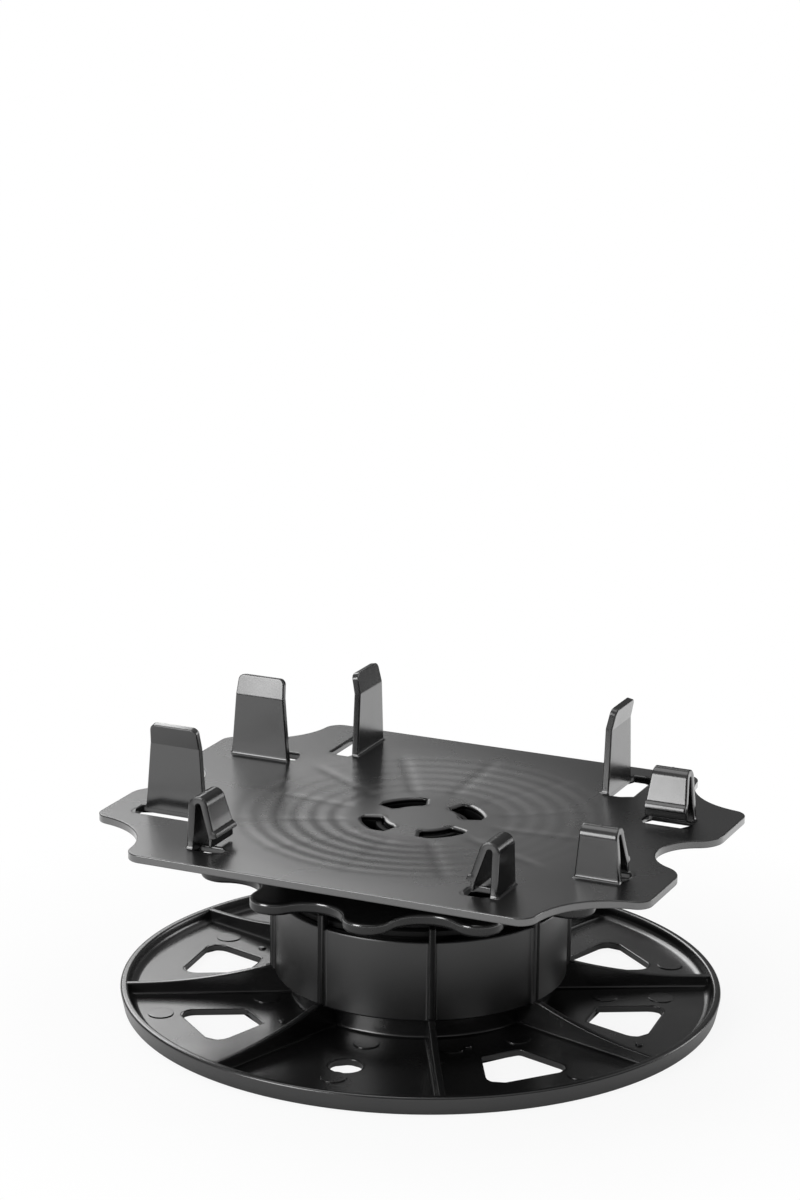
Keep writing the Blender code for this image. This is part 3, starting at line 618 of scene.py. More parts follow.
# The spindle's ridge seats in the gap of the tower's ridge, with a little play
THREAD_PLAY = 0.7
THREAD_SEAT = 0.4
flank_share = (RIDGE_HEIGHT + THREAD_PLAY) / (2 * RIDGE_HEIGHT)
ridge_offset = RIDGE_ROOT - (RIDGE_ROOT - RIDGE_CREST) * flank_share + THREAD_SEAT
spindle_crest = SPINDLE_RADIUS + RIDGE_HEIGHT
spindle_thread_low = SPINDLE_LOW + THREAD_END
spindle_thread_high = WHEEL_LOW - THREAD_END
wheel_shapes.append(thread(
    SPINDLE_RADIUS, spindle_crest, spindle_thread_low, spindle_thread_high, thread_low + ridge_offset))

# Finish: glossy on the wheel's upper edge and face, duller on its grip, dull and dark on the spindle
# Below this height the spindle is painted into shade.
SPINDLE_SHADE_TOP = WHEEL_LOW - 0.05
# Below this height the wheel's grip has its reflection painted darker.
GRIP_SHADE_TOP = WHEEL_HIGH - 1.15
# The upper edge and face are glossy and reflect more strongly than the plastic would: real gloss with a
# painted highlight.
wheel_gloss_and_painted_sheen = moulded_black("wheel_gloss_and_painted_sheen", 0.0080, 0.19, 0.25, 0.03, 1.95)
# The spindle's dark, dull material is painted shade for the shadow that flange and plate cast on it.
spindle_painted_shade = moulded_black("spindle_painted_shade", 0.0050, 0.50, 0.62, 0.12, 1.28)
# The grip's weakened reflection is painted shade for the shadowed floor in front, which its side mirrors.
grip_painted_shade = moulded_black("grip_painted_shade", 0.0060, 0.24, 0.30, 0.04, 1.42)
wheel_piece = piece_of("adjusting_wheel_moulding", wheel_shapes, wheel_gloss_and_painted_sheen)
wheel_piece.data.materials.append(spindle_painted_shade)
wheel_piece.data.materials.append(grip_painted_shade)
for face in wheel_piece.data.polygons:
    if face.center.z < SPINDLE_SHADE_TOP * MM:
        face.material_index = 1
    elif face.center.z < GRIP_SHADE_TOP * MM:
        face.material_index = 2
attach(wheel_piece, "wheel")
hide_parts("adjusting_wheel")

# Head disc: the round cap between wheel and plate, moulded in black plastic. Its collar snaps
# into the spindle, so the wheel turns below it while the plate keeps its direction.
HEAD_RADIUS = 48.0
HEAD_HIGH = 61.8
HEAD_LOW = 52.8
HEAD_UNDERSIDE = 59.2
COLLAR_RADIUS = 40.6
BEAD_RADIUS = 41.4
BEAD_HIGH = 45.6
HEAD_BORE = 13.6
HEAD_EDGE = 0.5
HEAD_BURIED = 1.2
SKIRT_THICK = 2.4
COLLAR_THICK = 2.4
WINDOW_OUTER = 20.4
WINDOW_INNER = 15.6
WINDOW_CORNER = 0.7
WINDOW_LIP = 0.3
WINDOW_HALF = 25
WINDOW_STEPS = 10
HOOK_BEARINGS = (45, 135, 225, 315)


def arc_window(middle, outer, inner, corner):
    """Outline of an arc-shaped opening about a bearing in degrees, with its corners rounded."""
    outline = []
    for radius, first, last in ((outer, -WINDOW_HALF, WINDOW_HALF), (inner, WINDOW_HALF, -WINDOW_HALF)):
        side = arc(0.0, 0.0, radius, middle + first, middle + last, WINDOW_STEPS)
        outline += [(x, y, 0.0) for x, y in side]
    for index in (0, WINDOW_STEPS, WINDOW_STEPS + 1, 2 * WINDOW_STEPS + 1):
        outline[index] = outline[index][:2] + (corner,)
    return softened(outline, 4)


head_edge = circle(0.0, 0.0, HEAD_RADIUS, 160)
head_windows = [circle(0.0, 0.0, HEAD_BORE, 72)]
for middle in HOOK_BEARINGS:
    head_windows.append(arc_window(middle, WINDOW_OUTER, WINDOW_INNER, WINDOW_CORNER))
head_lips = [WINDOW_LIP] * len(head_windows)
head_shapes = [slab(head_edge, head_windows, HEAD_UNDERSIDE, HEAD_HIGH, HEAD_EDGE, head_lips)]
skirt_inner = HEAD_RADIUS - SKIRT_THICK
skirt_top = HEAD_HIGH - HEAD_BURIED
skirt_section = softened([
    (skirt_inner, skirt_top, 0.0), (HEAD_RADIUS, skirt_top, 0.0),
    (HEAD_RADIUS, HEAD_LOW, 0.4), (skirt_inner, HEAD_LOW, 0.4),
])
collar_inner = COLLAR_RADIUS - COLLAR_THICK
collar_top = HEAD_UNDERSIDE + HEAD_BURIED
collar_section = softened([
    (COLLAR_RADIUS, collar_top, 0.0), (COLLAR_RADIUS, BEAD_HIGH, 0.0),
    (BEAD_RADIUS, BEAD_HIGH, 0.25), (BEAD_RADIUS, BEAD_HIGH - 1.0, 0.3),
    (COLLAR_RADIUS, BEAD_HIGH - 2.0, 0.0), (collar_inner, BEAD_HIGH - 2.0, 0.5),
    (collar_inner, collar_top, 0.0),
])
head_shapes.append(turned(held(skirt_section)))
head_shapes.append(turned(held(collar_section)))
# The head disc's dark, matt, weakly reflecting material is painted shade for the shadow under the plate,
# seen through the slots.
head_painted_shade = moulded_black("head_painted_shade", 0.0050, 0.55, 0.65, 0.12, 1.18)
head_piece = piece_of("head_disc_moulding", head_shapes, head_painted_shade)
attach(head_piece, "head")
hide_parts("head_disc")

# Joist plate: the thin plate that a joist rests on, moulded in satin black plastic with tabs,
# clips and hooks in one shot. It is dished a little at the middle, and the ribs of the mould
# leave faint rings and radial sink lines on its face. Hooks below it snap into the head disc.
PLATE_LOW = 62.1
PLATE_HIGH = 64.8
HALF_LENGTH = 97.8
HALF_DEPTH = 79.0
PLATE_EDGE = 0.35
NOTCH_DEPTH = 14.4
NOTCH_ROUND = 16.0
SHOULDER_ROUND = 10.0
CORNER_ROUND = 5.5
DIP_X = 97.3
DIP_Y = 75.5
DIP_ROUND = 26.5
EDGE_CORNER = 6.0

notch_x = HALF_LENGTH - NOTCH_DEPTH + NOTCH_ROUND
shoulder_x = HALF_LENGTH - SHOULDER_ROUND
shoulder_y = math.sqrt((NOTCH_ROUND + SHOULDER_ROUND) ** 2 - (notch_x - shoulder_x) ** 2)
notch_end = math.degrees(math.atan2(shoulder_y, shoulder_x - notch_x))
corner_x = HALF_LENGTH - CORNER_ROUND
corner_y = DIP_Y - math.sqrt((DIP_ROUND + CORNER_ROUND) ** 2 - (DIP_X - corner_x) ** 2)
dip_start = math.degrees(math.atan2(corner_y - DIP_Y, corner_x - DIP_X))
edge_y = HALF_DEPTH - EDGE_CORNER
edge_x = DIP_X - math.sqrt((DIP_ROUND + EDGE_CORNER) ** 2 - (DIP_Y - edge_y) ** 2)
dip_end = math.degrees(math.atan2(edge_y - DIP_Y, edge_x - DIP_X))
right_back = arc(notch_x, 0.0, NOTCH_ROUND, 180, notch_end, 14)
right_back += arc(shoulder_x, shoulder_y, SHOULDER_ROUND, notch_end - 180, 0, 14)[1:]
right_back += arc(corner_x, corner_y, CORNER_ROUND, 0, dip_start + 180, 12)
right_back += arc(DIP_X, DIP_Y, DIP_ROUND, dip_start, dip_end, 24)[1:]
right_back += arc(edge_x, edge_y, EDGE_CORNER, dip_end + 180, 90, 12)[1:]
left_back = [(-x, y) for x, y in reversed(right_back)]
left_front = [(-x, -y) for x, y in right_back]
right_front = [(x, -y) for x, y in reversed(right_back)]
plate_outline = paced(right_back + left_back[:-1] + left_front + right_front[:-1], 4.0)

# Where each tab and clip stands: its foot on the plate's face and its turn in degrees
TAB_THICK = 2.4
TAB_FOOT = 21.8
CLIP_THICK = 2.5
CLIP_FOOT = 15.4
TAB_PLACES = [(-76.0, -30.2, 180), (-76.0, 30.2, 0), (-45.8, 58.0, 90), (45.8, 58.0, -90)]
CLIP_PLACES = [(-54.3, -58.0, -90), (54.3, -58.0, 90), (76.0, -36.3, 0), (76.0, 36.3, 180)]

# Openings: four arc slots over the hooks, one slot beside each tab and one below each clip. The
# slots below the first two clips are shorter than the others.
SLOT_OUTER = 20.4
SLOT_INNER = 13.0
SLOT_CORNER = 1.15
SLOT_FAR_CORNER = 1.8
TAB_SLOT_DEPTH = 8.4
CLIP_SLOT_DEPTH = 9.5
# Painted shade: the first clip's slot is cut short, so that black plastic stands where shaded ground
# would show through it
CLIP_1_SLOT_LENGTH = 6.0
CLIP_2_SLOT_LENGTH = 9.6
tab_slot_half = TAB_FOOT / 2 + 0.8
clip_slot_half = CLIP_FOOT / 2 + 0.4
plate_holes = []
for middle in HOOK_BEARINGS:
    plate_holes.append(arc_window(middle, SLOT_OUTER, SLOT_INNER, SLOT_CORNER))
for places, left, right, near, depth in (
    (TAB_PLACES, -tab_slot_half, tab_slot_half, TAB_THICK, TAB_SLOT_DEPTH),
    (CLIP_PLACES[:1], clip_slot_half - CLIP_1_SLOT_LENGTH, clip_slot_half, CLIP_THICK, CLIP_SLOT_DEPTH),
    (CLIP_PLACES[1:2], -clip_slot_half, CLIP_2_SLOT_LENGTH - clip_slot_half, CLIP_THICK, CLIP_SLOT_DEPTH),
    (CLIP_PLACES[2:], -clip_slot_half, clip_slot_half, CLIP_THICK, CLIP_SLOT_DEPTH),
):
    far = near + depth
    corners = [(left, near, SLOT_CORNER), (right, near, SLOT_CORNER)]
    corners += [(right, far, SLOT_FAR_CORNER), (left, far, SLOT_FAR_CORNER)]
    opening = paced(softened(corners, 4), 3.0)
    for x, y, turn in places:
        plate_holes.append(outline_at(opening, turn, x, y))

# Shrinkage of the plate's face: the dish, and the marks between two radii. The rings are
# strongest on the side away from RING_QUIET_SIDE.
DISH_DEPTH = 1.35
DISH_FLAT = 18.0
DISH_RUN = 57.0
MARKS_INNER = 23.0
MARKS_OUTER = 66.0
RING_HEIGHT = 0.040
RING_PITCH = 6.4
RING_QUIET_SIDE = 24
LINE_DEPTH = 0.090
LINE_WIDTH = 1.6
LINE_SPACING = 30


def plate_lift(x, y):
    """Height of the plate's face above flat: a shallow dish, ring marks and radial sink lines."""
    radius = math.hypot(x, y)
    share = min(1.0, max(0.0, (radius - DISH_FLAT) / DISH_RUN))
    dish = -DISH_DEPTH * (1 - share * share * (3 - 2 * share))
    inner = min(1.0, max(0.0, (radius - MARKS_INNER) / 5.0))
    outer = min(1.0, max(0.0, (MARKS_OUTER - radius) / 8.0))
    fade = inner * outer
    bearing = math.degrees(math.atan2(y, x))
    waves = 0.80 - 0.45 * math.cos(math.radians(bearing - RING_QUIET_SIDE))
    rings = RING_HEIGHT * waves * math.cos(math.tau * radius / RING_PITCH)
    half_spacing = LINE_SPACING / 2
    off_line = radius * math.radians((bearing + half_spacing) % LINE_SPACING - half_spacing)
    lines = -LINE_DEPTH * math.exp(-(off_line / LINE_WIDTH) ** 2)
    return dish + fade * (rings + lines)


# Points inside the plate's face, close together where the rings and lines are
RING_STEP = 1.28
TURN_STEP = 1.7
COARSE_STEP = 4.0
EDGE_GAP = 1.5
face_points = []
for radius in np.arange(2.0, MARKS_OUTER, RING_STEP):
    number = 12 * max(1, round(math.tau * radius / (12 * TURN_STEP)))
    for index in range(number):
        angle = math.tau * index / number
        face_points.append((radius * math.cos(angle), radius * math.sin(angle)))
for x in np.arange(-96.0, 96.1, COARSE_STEP):
    for y in np.arange(-76.0, 76.1, COARSE_STEP):
        if math.hypot(x, y) > MARKS_OUTER + 1.0:
            face_points.append((x, y))
tried = np.array(face_points)
kept = inside(tried, plate_outline)
for outline in plate_holes:
    kept &= ~inside(tried, outline)
for outline in [plate_outline] + plate_holes:
    edge_points = np.array(paced(outline, 0.8))
    gaps = np.linalg.norm(tried[:, None, :] - edge_points[None, :, :], axis=2).min(1)
    kept &= gaps > EDGE_GAP
face_points = [tuple(point) for point in tried[kept]]

# Finish: satin on the face; the upright edge around it is a little glossier and reflects far more
# strongly, a painted sheen.
ARC_SLOT_LIP = 1.3
SLOT_LIP = 0.8
UPRIGHT = 0.7  # faces that look up or down more than this are not part of the edge
slot_lips = [ARC_SLOT_LIP] * 4 + [SLOT_LIP] * 8
plate_shape = slab(
    plate_outline, plate_holes, PLATE_LOW, PLATE_HIGH, PLATE_EDGE, slot_lips, face_points, plate_lift)
plate_black = moulded_black("plate_black", 0.0090, 0.265, 0.285, 0.012, 1.68, 14.0)
plate_edge_painted_sheen = moulded_black("plate_edge_painted_sheen", 0.0090, 0.24, 0.28, 0.012, 1.95)
plate_piece = piece_of("joist_plate_moulding", [plate_shape], plate_black)
plate_piece.data.materials.append(plate_edge_painted_sheen)
# Faces of the upright edge, which take the painted sheen
edge_faces = len(plate_outline) * (len(rounding(PLATE_EDGE, PLATE_LOW, PLATE_HIGH)) - 1)
for face in plate_piece.data.polygons[:edge_faces]:
    if abs(face.normal.z) < UPRIGHT:
        face.material_index = 1
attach(plate_piece, "plate")
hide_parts("joist_plate")

# Guide tabs: four tall tongues that keep a joist in line, moulded with the plate. Each narrows
# upward, its lip is bent outward to lead the joist in, and a small fillet ties its foot.
TAB_TOP = 17.2
TAB_BEND = 22.2
TAB_LIP = 7.3
BEND_TURN = math.radians(12)
BEND_RUN = 0.7
FOOT_FILLET = 1.1
TAB_CORNER = 2.2
TAB_EDGE = 0.35


def foot_flare(height):
    """How far a foot fillet stands out at a height above the plate."""
    short = FOOT_FILLET - max(0.0, height)
    if short <= 0:
        return 0.0
    return FOOT_FILLET - math.sqrt(FOOT_FILLET ** 2 - min(short, FOOT_FILLET * 0.98) ** 2)


tab_rows = [-1.2, -0.6, 0.0, 0.15, 0.4, 0.7, 1.1, 1.6, 3.0, 6.0, 9.0, 12.0, 15.0, 18.0, 20.0, 21.2]
tab_rows += [21.7, 21.85, 22.03, 22.2, 22.38, 22.55, 22.7, 23.2, 25.0, 26.5]
tab_length = TAB_BEND + TAB_LIP
tab_edge = []
for along in tab_rows:
    share = max(0.0, along) / tab_length
    tab_edge.append((TAB_FOOT / 2 + (TAB_TOP - TAB_FOOT) / 2 * share, along))
tab_outline = softened(
    [(x, along, 0.0) for x, along in tab_edge]
    + [(TAB_TOP / 2, tab_length, TAB_CORNER), (-TAB_TOP / 2, tab_length, TAB_CORNER)]
    + [(-x, along, 0.0) for x, along in reversed(tab_edge)], 8)
tab_fill = []
for along in tab_rows[2:]:
    tab_fill += [(across, along) for across in np.arange(-7.5, 7.6, 2.5)]
tab_flat = slab(tab_outline, [], 0.0, TAB_THICK, TAB_EDGE, (), tab_fill)


def bent_tab(flat):
    """Flat tongue (across, along, depth) with its lip bent outward and its foot flared."""
    points = []
    bend_from = TAB_BEND - BEND_RUN / 2
    for across, along, depth in flat[0]:
        past = min(max(along - bend_from, 0.0), BEND_RUN)
        turn = BEND_TURN * past / BEND_RUN
        curve = BEND_RUN / BEND_TURN
        y = curve * (1 - math.cos(turn))
        z = min(along, bend_from) + curve * math.sin(turn)
        rest = max(0.0, along - bend_from - BEND_RUN)
        y += rest * math.sin(turn) + depth * math.cos(turn)
        z += rest * math.cos(turn) - depth * math.sin(turn)
        flare = foot_flare(along)
        y -= flare * (1 - depth / TAB_THICK)
        x = across * (1 + flare * 0.6 / TAB_FOOT)
        points.append((x, y, z))
    return points, flat[1]


def tongue():
    """Tab with points inside both of its wide faces, so that the bend is smooth on both."""
    points, faces = tab_flat
    flipped = [(x, along, TAB_THICK - depth) for x, along, depth in points]
    upper = [face for face in faces if min(points[corner][2] for corner in face) > TAB_THICK - CLOSE]
    lower = [face for face in faces if max(points[corner][2] for corner in face) < CLOSE]
    kept_faces = [face for face in faces if face not in set(lower)]
    border = {}
    for index, point in enumerate(points):
        border[(round(point[0], 5), round(point[1], 5), round(point[2], 5))] = index
    extra = []
    renamed = {}
    for face in upper:
        for corner in face:
            if corner in renamed:
                continue
            x, along, depth = flipped[corner]
            known = border.get((round(x, 5), round(along, 5), round(depth, 5)))
            if known is None:
                known = len(points) + len(extra)
                extra.append((x, along, depth))
            renamed[corner] = known
    kept_faces += [tuple(renamed[corner] for corner in face) for face in upper]
    return bent_tab((points + extra, kept_faces))


tab_black = moulded_black("tab_black", 0.0090, 0.18, 0.26, 0.04)
tab_shape = tongue()
for number, (x, y, turn) in enumerate(TAB_PLACES, start=1):
    tab_form = placed(tab_shape, turn, (x, y, PLATE_HIGH))
    tab_piece = piece_of(f"guide_tab_{number}_moulding", [tab_form], tab_black)
    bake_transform(tab_piece)
    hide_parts(f"guide_tab_{number}")

# Spring clips: four folded strips moulded with the plate. The outer leg stands upright, the
# strip folds over, and the free leg slopes back down and grips the joist with a bead at its tip.
CLIP_TOP = 12.2
CLIP_HEIGHT = 17.4
FOLD_ROUND = 3.5
LEG_LEAN = 17.0
LEG_HALF = 1.2
TIP_HEIGHT = 1.3
BEAD = 0.85
TONGUE = 2.8
TONGUE_THICK = 1.5
STRIP_EDGE = 0.42
GATE_RADIUS = 0.7
FOLD_STEPS = 18
fold_high = CLIP_HEIGHT - FOLD_ROUND
fold_middle = FOLD_ROUND - CLIP_THICK / 2
lean = math.radians(LEG_LEAN)
root_y = FOLD_ROUND + fold_middle * math.cos(lean)
root_z = fold_high + fold_middle * math.sin(lean)
leg_length = (root_z - TIP_HEIGHT - TONGUE) / math.cos(lean)

# Stations along the strip: middle point, outward direction and thickness to each side
strip = []
for height in (-1.2, -0.6, 0.0, 0.15, 0.4, 0.7, 1.1, 1.6, 4.0, 7.0, 10.0, 12.5, fold_high - 0.3):
    flared = CLIP_THICK / 2 + foot_flare(height)
    strip.append((CLIP_THICK / 2, height, -1.0, 0.0, flared, CLIP_THICK / 2, 0.0))
for step in range(FOLD_STEPS + 1):
    angle = math.pi + (lean - math.pi) * step / FOLD_STEPS
    y = FOLD_ROUND + fold_middle * math.cos(angle)
    z = fold_high + fold_middle * math.sin(angle)
    strip.append((y, z, math.cos(angle), math.sin(angle), CLIP_THICK / 2, CLIP_THICK / 2, 0.0))
leg_steps = [(0.4, 0.0), (1.2, 0.0), (3.0, 0.0), (5.0, 0.0)]
for above_tip, bead in (
    (2.8, 0.0), (2.55, 0.05), (2.3, 0.17), (2.0, 0.42), (1.75, 0.70),
    (1.55, 0.92), (1.35, 1.0), (0.25, 1.0), (0.08, 0.95), (0.0, 0.82),
):
    leg_steps.append((leg_length - above_tip, bead))
for along, bead in leg_steps:
    thin = CLIP_THICK / 2 + (LEG_HALF - CLIP_THICK / 2) * min(1.0, along / 2.0)
    y = root_y + along * math.sin(lean)
    z = root_z - along * math.cos(lean)
    strip.append((y, z, math.cos(lean), math.sin(lean), thin + BEAD * bead, thin, 0.0))
tongue_y = root_y + leg_length * math.sin(lean) - LEG_HALF * math.cos(lean) + TONGUE_THICK / 2
tongue_z = root_z - leg_length * math.cos(lean)
for past, face, inset in ((0.0, 0.20, 0.0), (0.12, 0.06, 0.0), (0.3, 0.0, 0.0), (TONGUE - 0.5, 0.0, 0.0),
                          (TONGUE - 0.25, 0.0, 0.06), (TONGUE - 0.1, 0.0, 0.18), (TONGUE, 0.0, 0.38)):
    thick = TONGUE_THICK / 2 - inset
    strip.append((tongue_y, tongue_z - past, 1.0, 0.0, thick + face, thick, inset))
strip_rings = []
for y, z, out_y, out_z, outer, inner, inset in strip:
    half = CLIP_FOOT / 2 + (CLIP_TOP - CLIP_FOOT) / 2 * max(0.0, z) / CLIP_HEIGHT
    half += foot_flare(z) * 0.3 - inset
    edge = min(STRIP_EDGE, (outer + inner) * 0.3)
    loop = arc(half - edge, edge - inner, edge, -90, 0, 4)
    loop += arc(half - edge, outer - edge, edge, 0, 90, 4)
    loop += [(half - edge - HOLD, outer), (HOLD + edge - half, outer)]
    loop += arc(edge - half, outer - edge, edge, 90, 180, 4)
    loop += arc(edge - half, edge - inner, edge, 180, 270, 4)
    loop += [(HOLD + edge - half, -inner), (half - edge - HOLD, -inner)]
    strip_rings.append([(across, y + out_y * depth, z + out_z * depth) for across, depth in loop])
clip_shape = skin(strip_rings, False)
gate_edge = circle(0.0, FOLD_ROUND, GATE_RADIUS, 20)
gate_mark = slab(gate_edge, [], CLIP_HEIGHT - 0.6, CLIP_HEIGHT + 0.1, 0.2)
clip_black = moulded_black("clip_black", 0.0090, 0.16, 0.23, 0.04)
for number, (x, y, turn) in enumerate(CLIP_PLACES, start=1):
    clip_forms = [placed(form, turn, (x, y, PLATE_HIGH)) for form in (clip_shape, gate_mark)]
    clip_piece = piece_of(f"spring_clip_{number}_moulding", clip_forms, clip_black)
    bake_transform(clip_piece)
    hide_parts(f"clip_leg_{number}")

# Snap hooks: four curved fingers under the plate, moulded with it in black plastic, that catch
# below the head disc. They show as the imported solids, dark and dull: painted shade for the shadow under
# the plate.
hook_painted_shade = moulded_black("hook_painted_shade", 0.0050, 0.50, 0.60, 0.10, 1.30)
for number in range(1, 5):
    hook_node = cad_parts[f"snap_hook_{number}"]
    hook_node.data.materials.clear()
    hook_node.data.materials.append(hook_painted_shade)

# Studio floor: a disc of matt white paper. It glows softly to the camera and in reflections, so
# it stays white around the object and still takes the object's shadow. In reflections its glow is
# cut to a small share within a fixed radius below the base, a painted shade, so the drains' walls stay
# dark.
FLOOR_REACH = 0.215
FLOOR_LEVEL = -0.0001
FLOOR_SIDES = 96
SHADOW_REACH = 0.125
CLEAR_REACH = 0.205
SHADED_REACH = 0.098
OPEN_REACH = 0.118
SHADED_SHARE = 0.15


def math_node(tree, operation, first, second):
    """Output of a math node on an output and a second output or number."""
    node = tree.nodes.new("ShaderNodeMath")
    node.operation = operation
    tree.links.new(first, node.inputs[0])
    if isinstance(second, float):
        node.inputs[1].default_value = second
    else:
        tree.links.new(second, node.inputs[1])
    return node.outputs["Value"]


floor_points = []
for step in range(FLOOR_SIDES):
    angle = math.tau * step / FLOOR_SIDES
    floor_points.append((math.cos(angle) * FLOOR_REACH, math.sin(angle) * FLOOR_REACH, FLOOR_LEVEL))
floor_mesh = bpy.data.meshes.new("studio_floor")
floor_mesh.from_pydata(floor_points, [], [tuple(range(FLOOR_SIDES))])
paper = bpy.data.materials.new("white_paper")
paper.use_nodes = True
paper_nodes = paper.node_tree.nodes
paper_links = paper.node_tree.links
paper_nodes.clear()
paper_out = paper_nodes.new("ShaderNodeOutputMaterial")
fibre_place = paper_nodes.new("ShaderNodeTexCoord")
fibre = paper_nodes.new("ShaderNodeTexNoise")
fibre.inputs["Scale"].default_value = 120.0
paper_links.new(fibre_place.outputs["Object"], fibre.inputs["Vector"])
paper_tint = paper_nodes.new("ShaderNodeValToRGB")
paper_tint.color_ramp.elements[0].color = (0.80, 0.80, 0.80, 1.0)
paper_tint.color_ramp.elements[1].color = (0.84, 0.84, 0.84, 1.0)
paper_links.new(fibre.outputs["Fac"], paper_tint.inputs["Fac"])
matt = paper_nodes.new("ShaderNodeBsdfDiffuse")
paper_links.new(paper_tint.outputs["Color"], matt.inputs["Color"])
glow = paper_nodes.new("ShaderNodeEmission")
glow.inputs["Strength"].default_value = 1.0
reach = paper_nodes.new("ShaderNodeVectorMath")
reach.operation = "LENGTH"
paper_links.new(fibre_place.outputs["Object"], reach.inputs[0])
paper_reach = reach.outputs["Value"]
glow_share = ramp_node(paper.node_tree, paper_reach, SHADOW_REACH, CLEAR_REACH, 0.90, 1.0)
shown = paper_nodes.new("ShaderNodeMixShader")
paper_links.new(glow_share, shown.inputs["Fac"])
paper_links.new(matt.outputs["BSDF"], shown.inputs[1])
paper_links.new(glow.outputs["Emission"], shown.inputs[2])
paper_path = paper_nodes.new("ShaderNodeLightPath")
paper_rays = paper_path.outputs
# Painted shade in reflections: the glow drops within a fixed radius below the base
open_share = ramp_node(paper.node_tree, paper_reach, SHADED_REACH, OPEN_REACH, SHADED_SHARE, 1.0)
mirrored = math_node(paper.node_tree, "MULTIPLY", paper_rays["Is Glossy Ray"], open_share)
seen_first = math_node(paper.node_tree, "MAXIMUM", paper_rays["Is Camera Ray"], mirrored)
seen = math_node(paper.node_tree, "MAXIMUM", seen_first, paper_rays["Is Transmission Ray"])
paper_mix = paper_nodes.new("ShaderNodeMixShader")
paper_links.new(seen, paper_mix.inputs["Fac"])
paper_links.new(matt.outputs["BSDF"], paper_mix.inputs[1])
paper_links.new(shown.outputs["Shader"], paper_mix.inputs[2])
paper_links.new(paper_mix.outputs["Shader"], paper_out.inputs["Surface"])
floor_mesh.materials.append(paper)
floor = bpy.data.objects.new("studio_floor", floor_mesh)
bpy.context.scene.collection.objects.link(floor)

# Studio room: pale walls that are white to the camera and throw a soft even fill on the object.
# Reflections see them much dimmer, so that the black plastic does not turn grey.
FILL_STRENGTH = 0.10
MIRRORED_SHARE = 0.06
room = bpy.data.worlds.new("studio_room")
bpy.context.scene.world = room
room.use_nodes = True
room_nodes = room.node_tree.nodes
room_links = room.node_tree.links
room_nodes.clear()
room_out = room_nodes.new("ShaderNodeOutputWorld")
wall = room_nodes.new("ShaderNodeBackground")
wall.inputs["Color"].default_value = (1.0, 1.0, 1.0, 1.0)
wall.inputs["Strength"].default_value = 1.0
fill_light = room_nodes.new("ShaderNodeBackground")
fill_light.inputs["Color"].default_value = (1.0, 1.0, 1.0, 1.0)
fill_light.inputs["Strength"].default_value = FILL_STRENGTH
room_path = room_nodes.new("ShaderNodeLightPath")
room_mix = room_nodes.new("ShaderNodeMixShader")
room_rays = room_path.outputs
mirrored_walls = math_node(room.node_tree, "MULTIPLY", room_rays["Is Glossy Ray"], MIRRORED_SHARE)
seen_walls = math_node(
    room.node_tree, "MAXIMUM", room_rays["Is Camera Ray"], room_rays["Is Transmission Ray"])
shown_walls = math_node(room.node_tree, "MAXIMUM", seen_walls, mirrored_walls)
room_links.new(shown_walls, room_mix.inputs["Fac"])
room_links.new(fill_light.outputs["Background"], room_mix.inputs[1])
room_links.new(wall.outputs["Background"], room_mix.inputs[2])
room_links.new(room_mix.outputs["Shader"], room_out.inputs["Surface"])

# Camera: a long lens a little above the plate, at the photograph's angle. The view frame looks
# along its own Y, and the object is turned against it by the plate's angle.
CAMERA_TURN = -0.4129146
CAMERA_REACH = 1158.226 * MM
CAMERA_RISE = 0.3783156
CAMERA_PITCH = 0.2626759
CAMERA_ROLL = 0.0117346
CAMERA_SWING = -0.0078254
LENS_LENGTH = 102.0
SENSOR_WIDTH = 36.0


def from_view(x, y, z):
    """Vector of the view frame in the object's frame."""
    cos = math.cos(CAMERA_TURN)
    sin = math.sin(CAMERA_TURN)
    return Vector((x * cos + y * sin, -x * sin + y * cos, z))


swing_cos = math.cos(CAMERA_SWING)
swing_sin = math.sin(CAMERA_SWING)
pitch_cos = math.cos(CAMERA_PITCH)
pitch_sin = math.sin(CAMERA_PITCH)
level_right = from_view(swing_cos, -swing_sin, 0.0)
level_up = from_view(swing_sin * pitch_sin, swing_cos * pitch_sin, pitch_cos)
camera_back = -from_view(swing_sin * pitch_cos, swing_cos * pitch_cos, -pitch_sin)
camera_right = level_right * math.cos(CAMERA_ROLL) + level_up * math.sin(CAMERA_ROLL)
camera_up = level_up * math.cos(CAMERA_ROLL) - level_right * math.sin(CAMERA_ROLL)
eye = from_view(0.0, -CAMERA_REACH * math.cos(CAMERA_RISE), CAMERA_REACH * math.sin(CAMERA_RISE))
lens = bpy.data.cameras.new("product_camera")
lens.sensor_width = SENSOR_WIDTH
lens.lens = LENS_LENGTH
lens.clip_start = 0.02
lens.clip_end = 60.0
camera = bpy.data.objects.new("product_camera", lens)
camera_turned = Matrix((camera_right, camera_up, camera_back)).transposed().to_4x4()
camera.matrix_world = Matrix.Translation(eye) @ camera_turned
bpy.context.scene.collection.objects.link(camera)
bpy.context.scene.camera = camera
bpy.context.scene.view_settings.view_transform = "Standard"

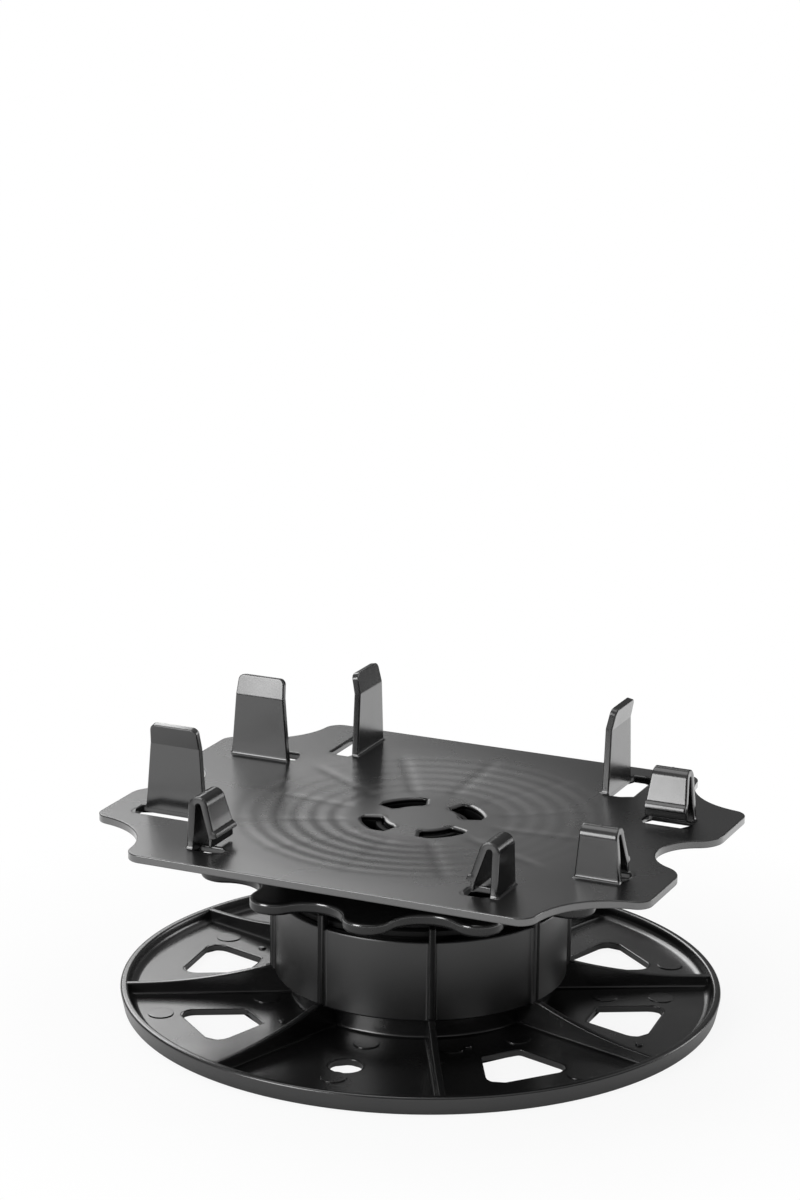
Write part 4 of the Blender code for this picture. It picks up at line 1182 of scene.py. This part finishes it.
# Softboxes: each has its bearing from the camera side in degrees, with the right positive, its
# rise, distance in metres, width, height and brightness, and all of them face the plate. The
# strips at the back grow brighter to the left, and a wide panel overhead lifts the shadows.
AIM_HEIGHT = 0.055
SOFTBOXES = [
    ("front_left_softbox", -51.0, 19.0, 1.6, 0.75, 0.75, 9.5),
    ("back_softbox", -178.4, 31.0, 4.0, 0.19, 1.52, 2.1),
    ("back_left_softbox_1", -175.2, 31.0, 4.0, 0.25, 1.52, 2.6),
    ("back_left_softbox_2", -170.5, 31.0, 4.0, 0.42, 1.52, 3.5),
    ("back_left_softbox_3", -153.0, 31.0, 4.0, 2.07, 1.52, 4.5),
    ("overhead_panel", 0.0, 90.0, 2.2, 6.00, 6.00, 0.40),
    ("top_softbox", -120.0, 78.0, 1.5, 1.00, 0.80, 1.8),
    ("right_softbox", 114.0, 13.0, 1.6, 0.60, 0.60, 4.0),
]
for name, bearing, rise, distance, width, height, brightness in SOFTBOXES:
    lamp = bpy.data.lights.new(name, "AREA")
    lamp.shape = "RECTANGLE"
    lamp.size = width
    lamp.size_y = height
    lamp.energy = brightness * math.pi * width * height
    softbox = bpy.data.objects.new(name, lamp)
    level_out = distance * math.cos(math.radians(rise))
    sideways = level_out * math.sin(math.radians(bearing))
    away = -level_out * math.cos(math.radians(bearing))
    where = from_view(sideways, away, distance * math.sin(math.radians(rise)))
    facing = (Vector((0.0, 0.0, AIM_HEIGHT)) - where).to_track_quat("-Z", "Y")
    softbox.matrix_world = Matrix.Translation(where) @ facing.to_matrix().to_4x4()
    softbox.visible_camera = False
    bpy.context.scene.collection.objects.link(softbox)

# Light table: a wide lit sheet below the paper's level, open around the paper. It lights the
# upright sides of plate, tabs and clips from beyond the paper's edge.
TABLE_RADIUS = 1.3
TABLE_LEVEL = -0.12
TABLE_BRIGHTNESS = 1.55
table = bpy.data.lights.new("light_table", "AREA")
table.shape = "DISK"
table.size = 2 * TABLE_RADIUS
table.energy = TABLE_BRIGHTNESS * math.pi * math.pi * TABLE_RADIUS ** 2
light_table = bpy.data.objects.new("light_table", table)
light_table.matrix_world = Matrix.Translation((0.0, 0.0, TABLE_LEVEL)) @ Matrix.Rotation(math.pi, 4, "X")
light_table.visible_camera = False
bpy.context.scene.collection.objects.link(light_table)
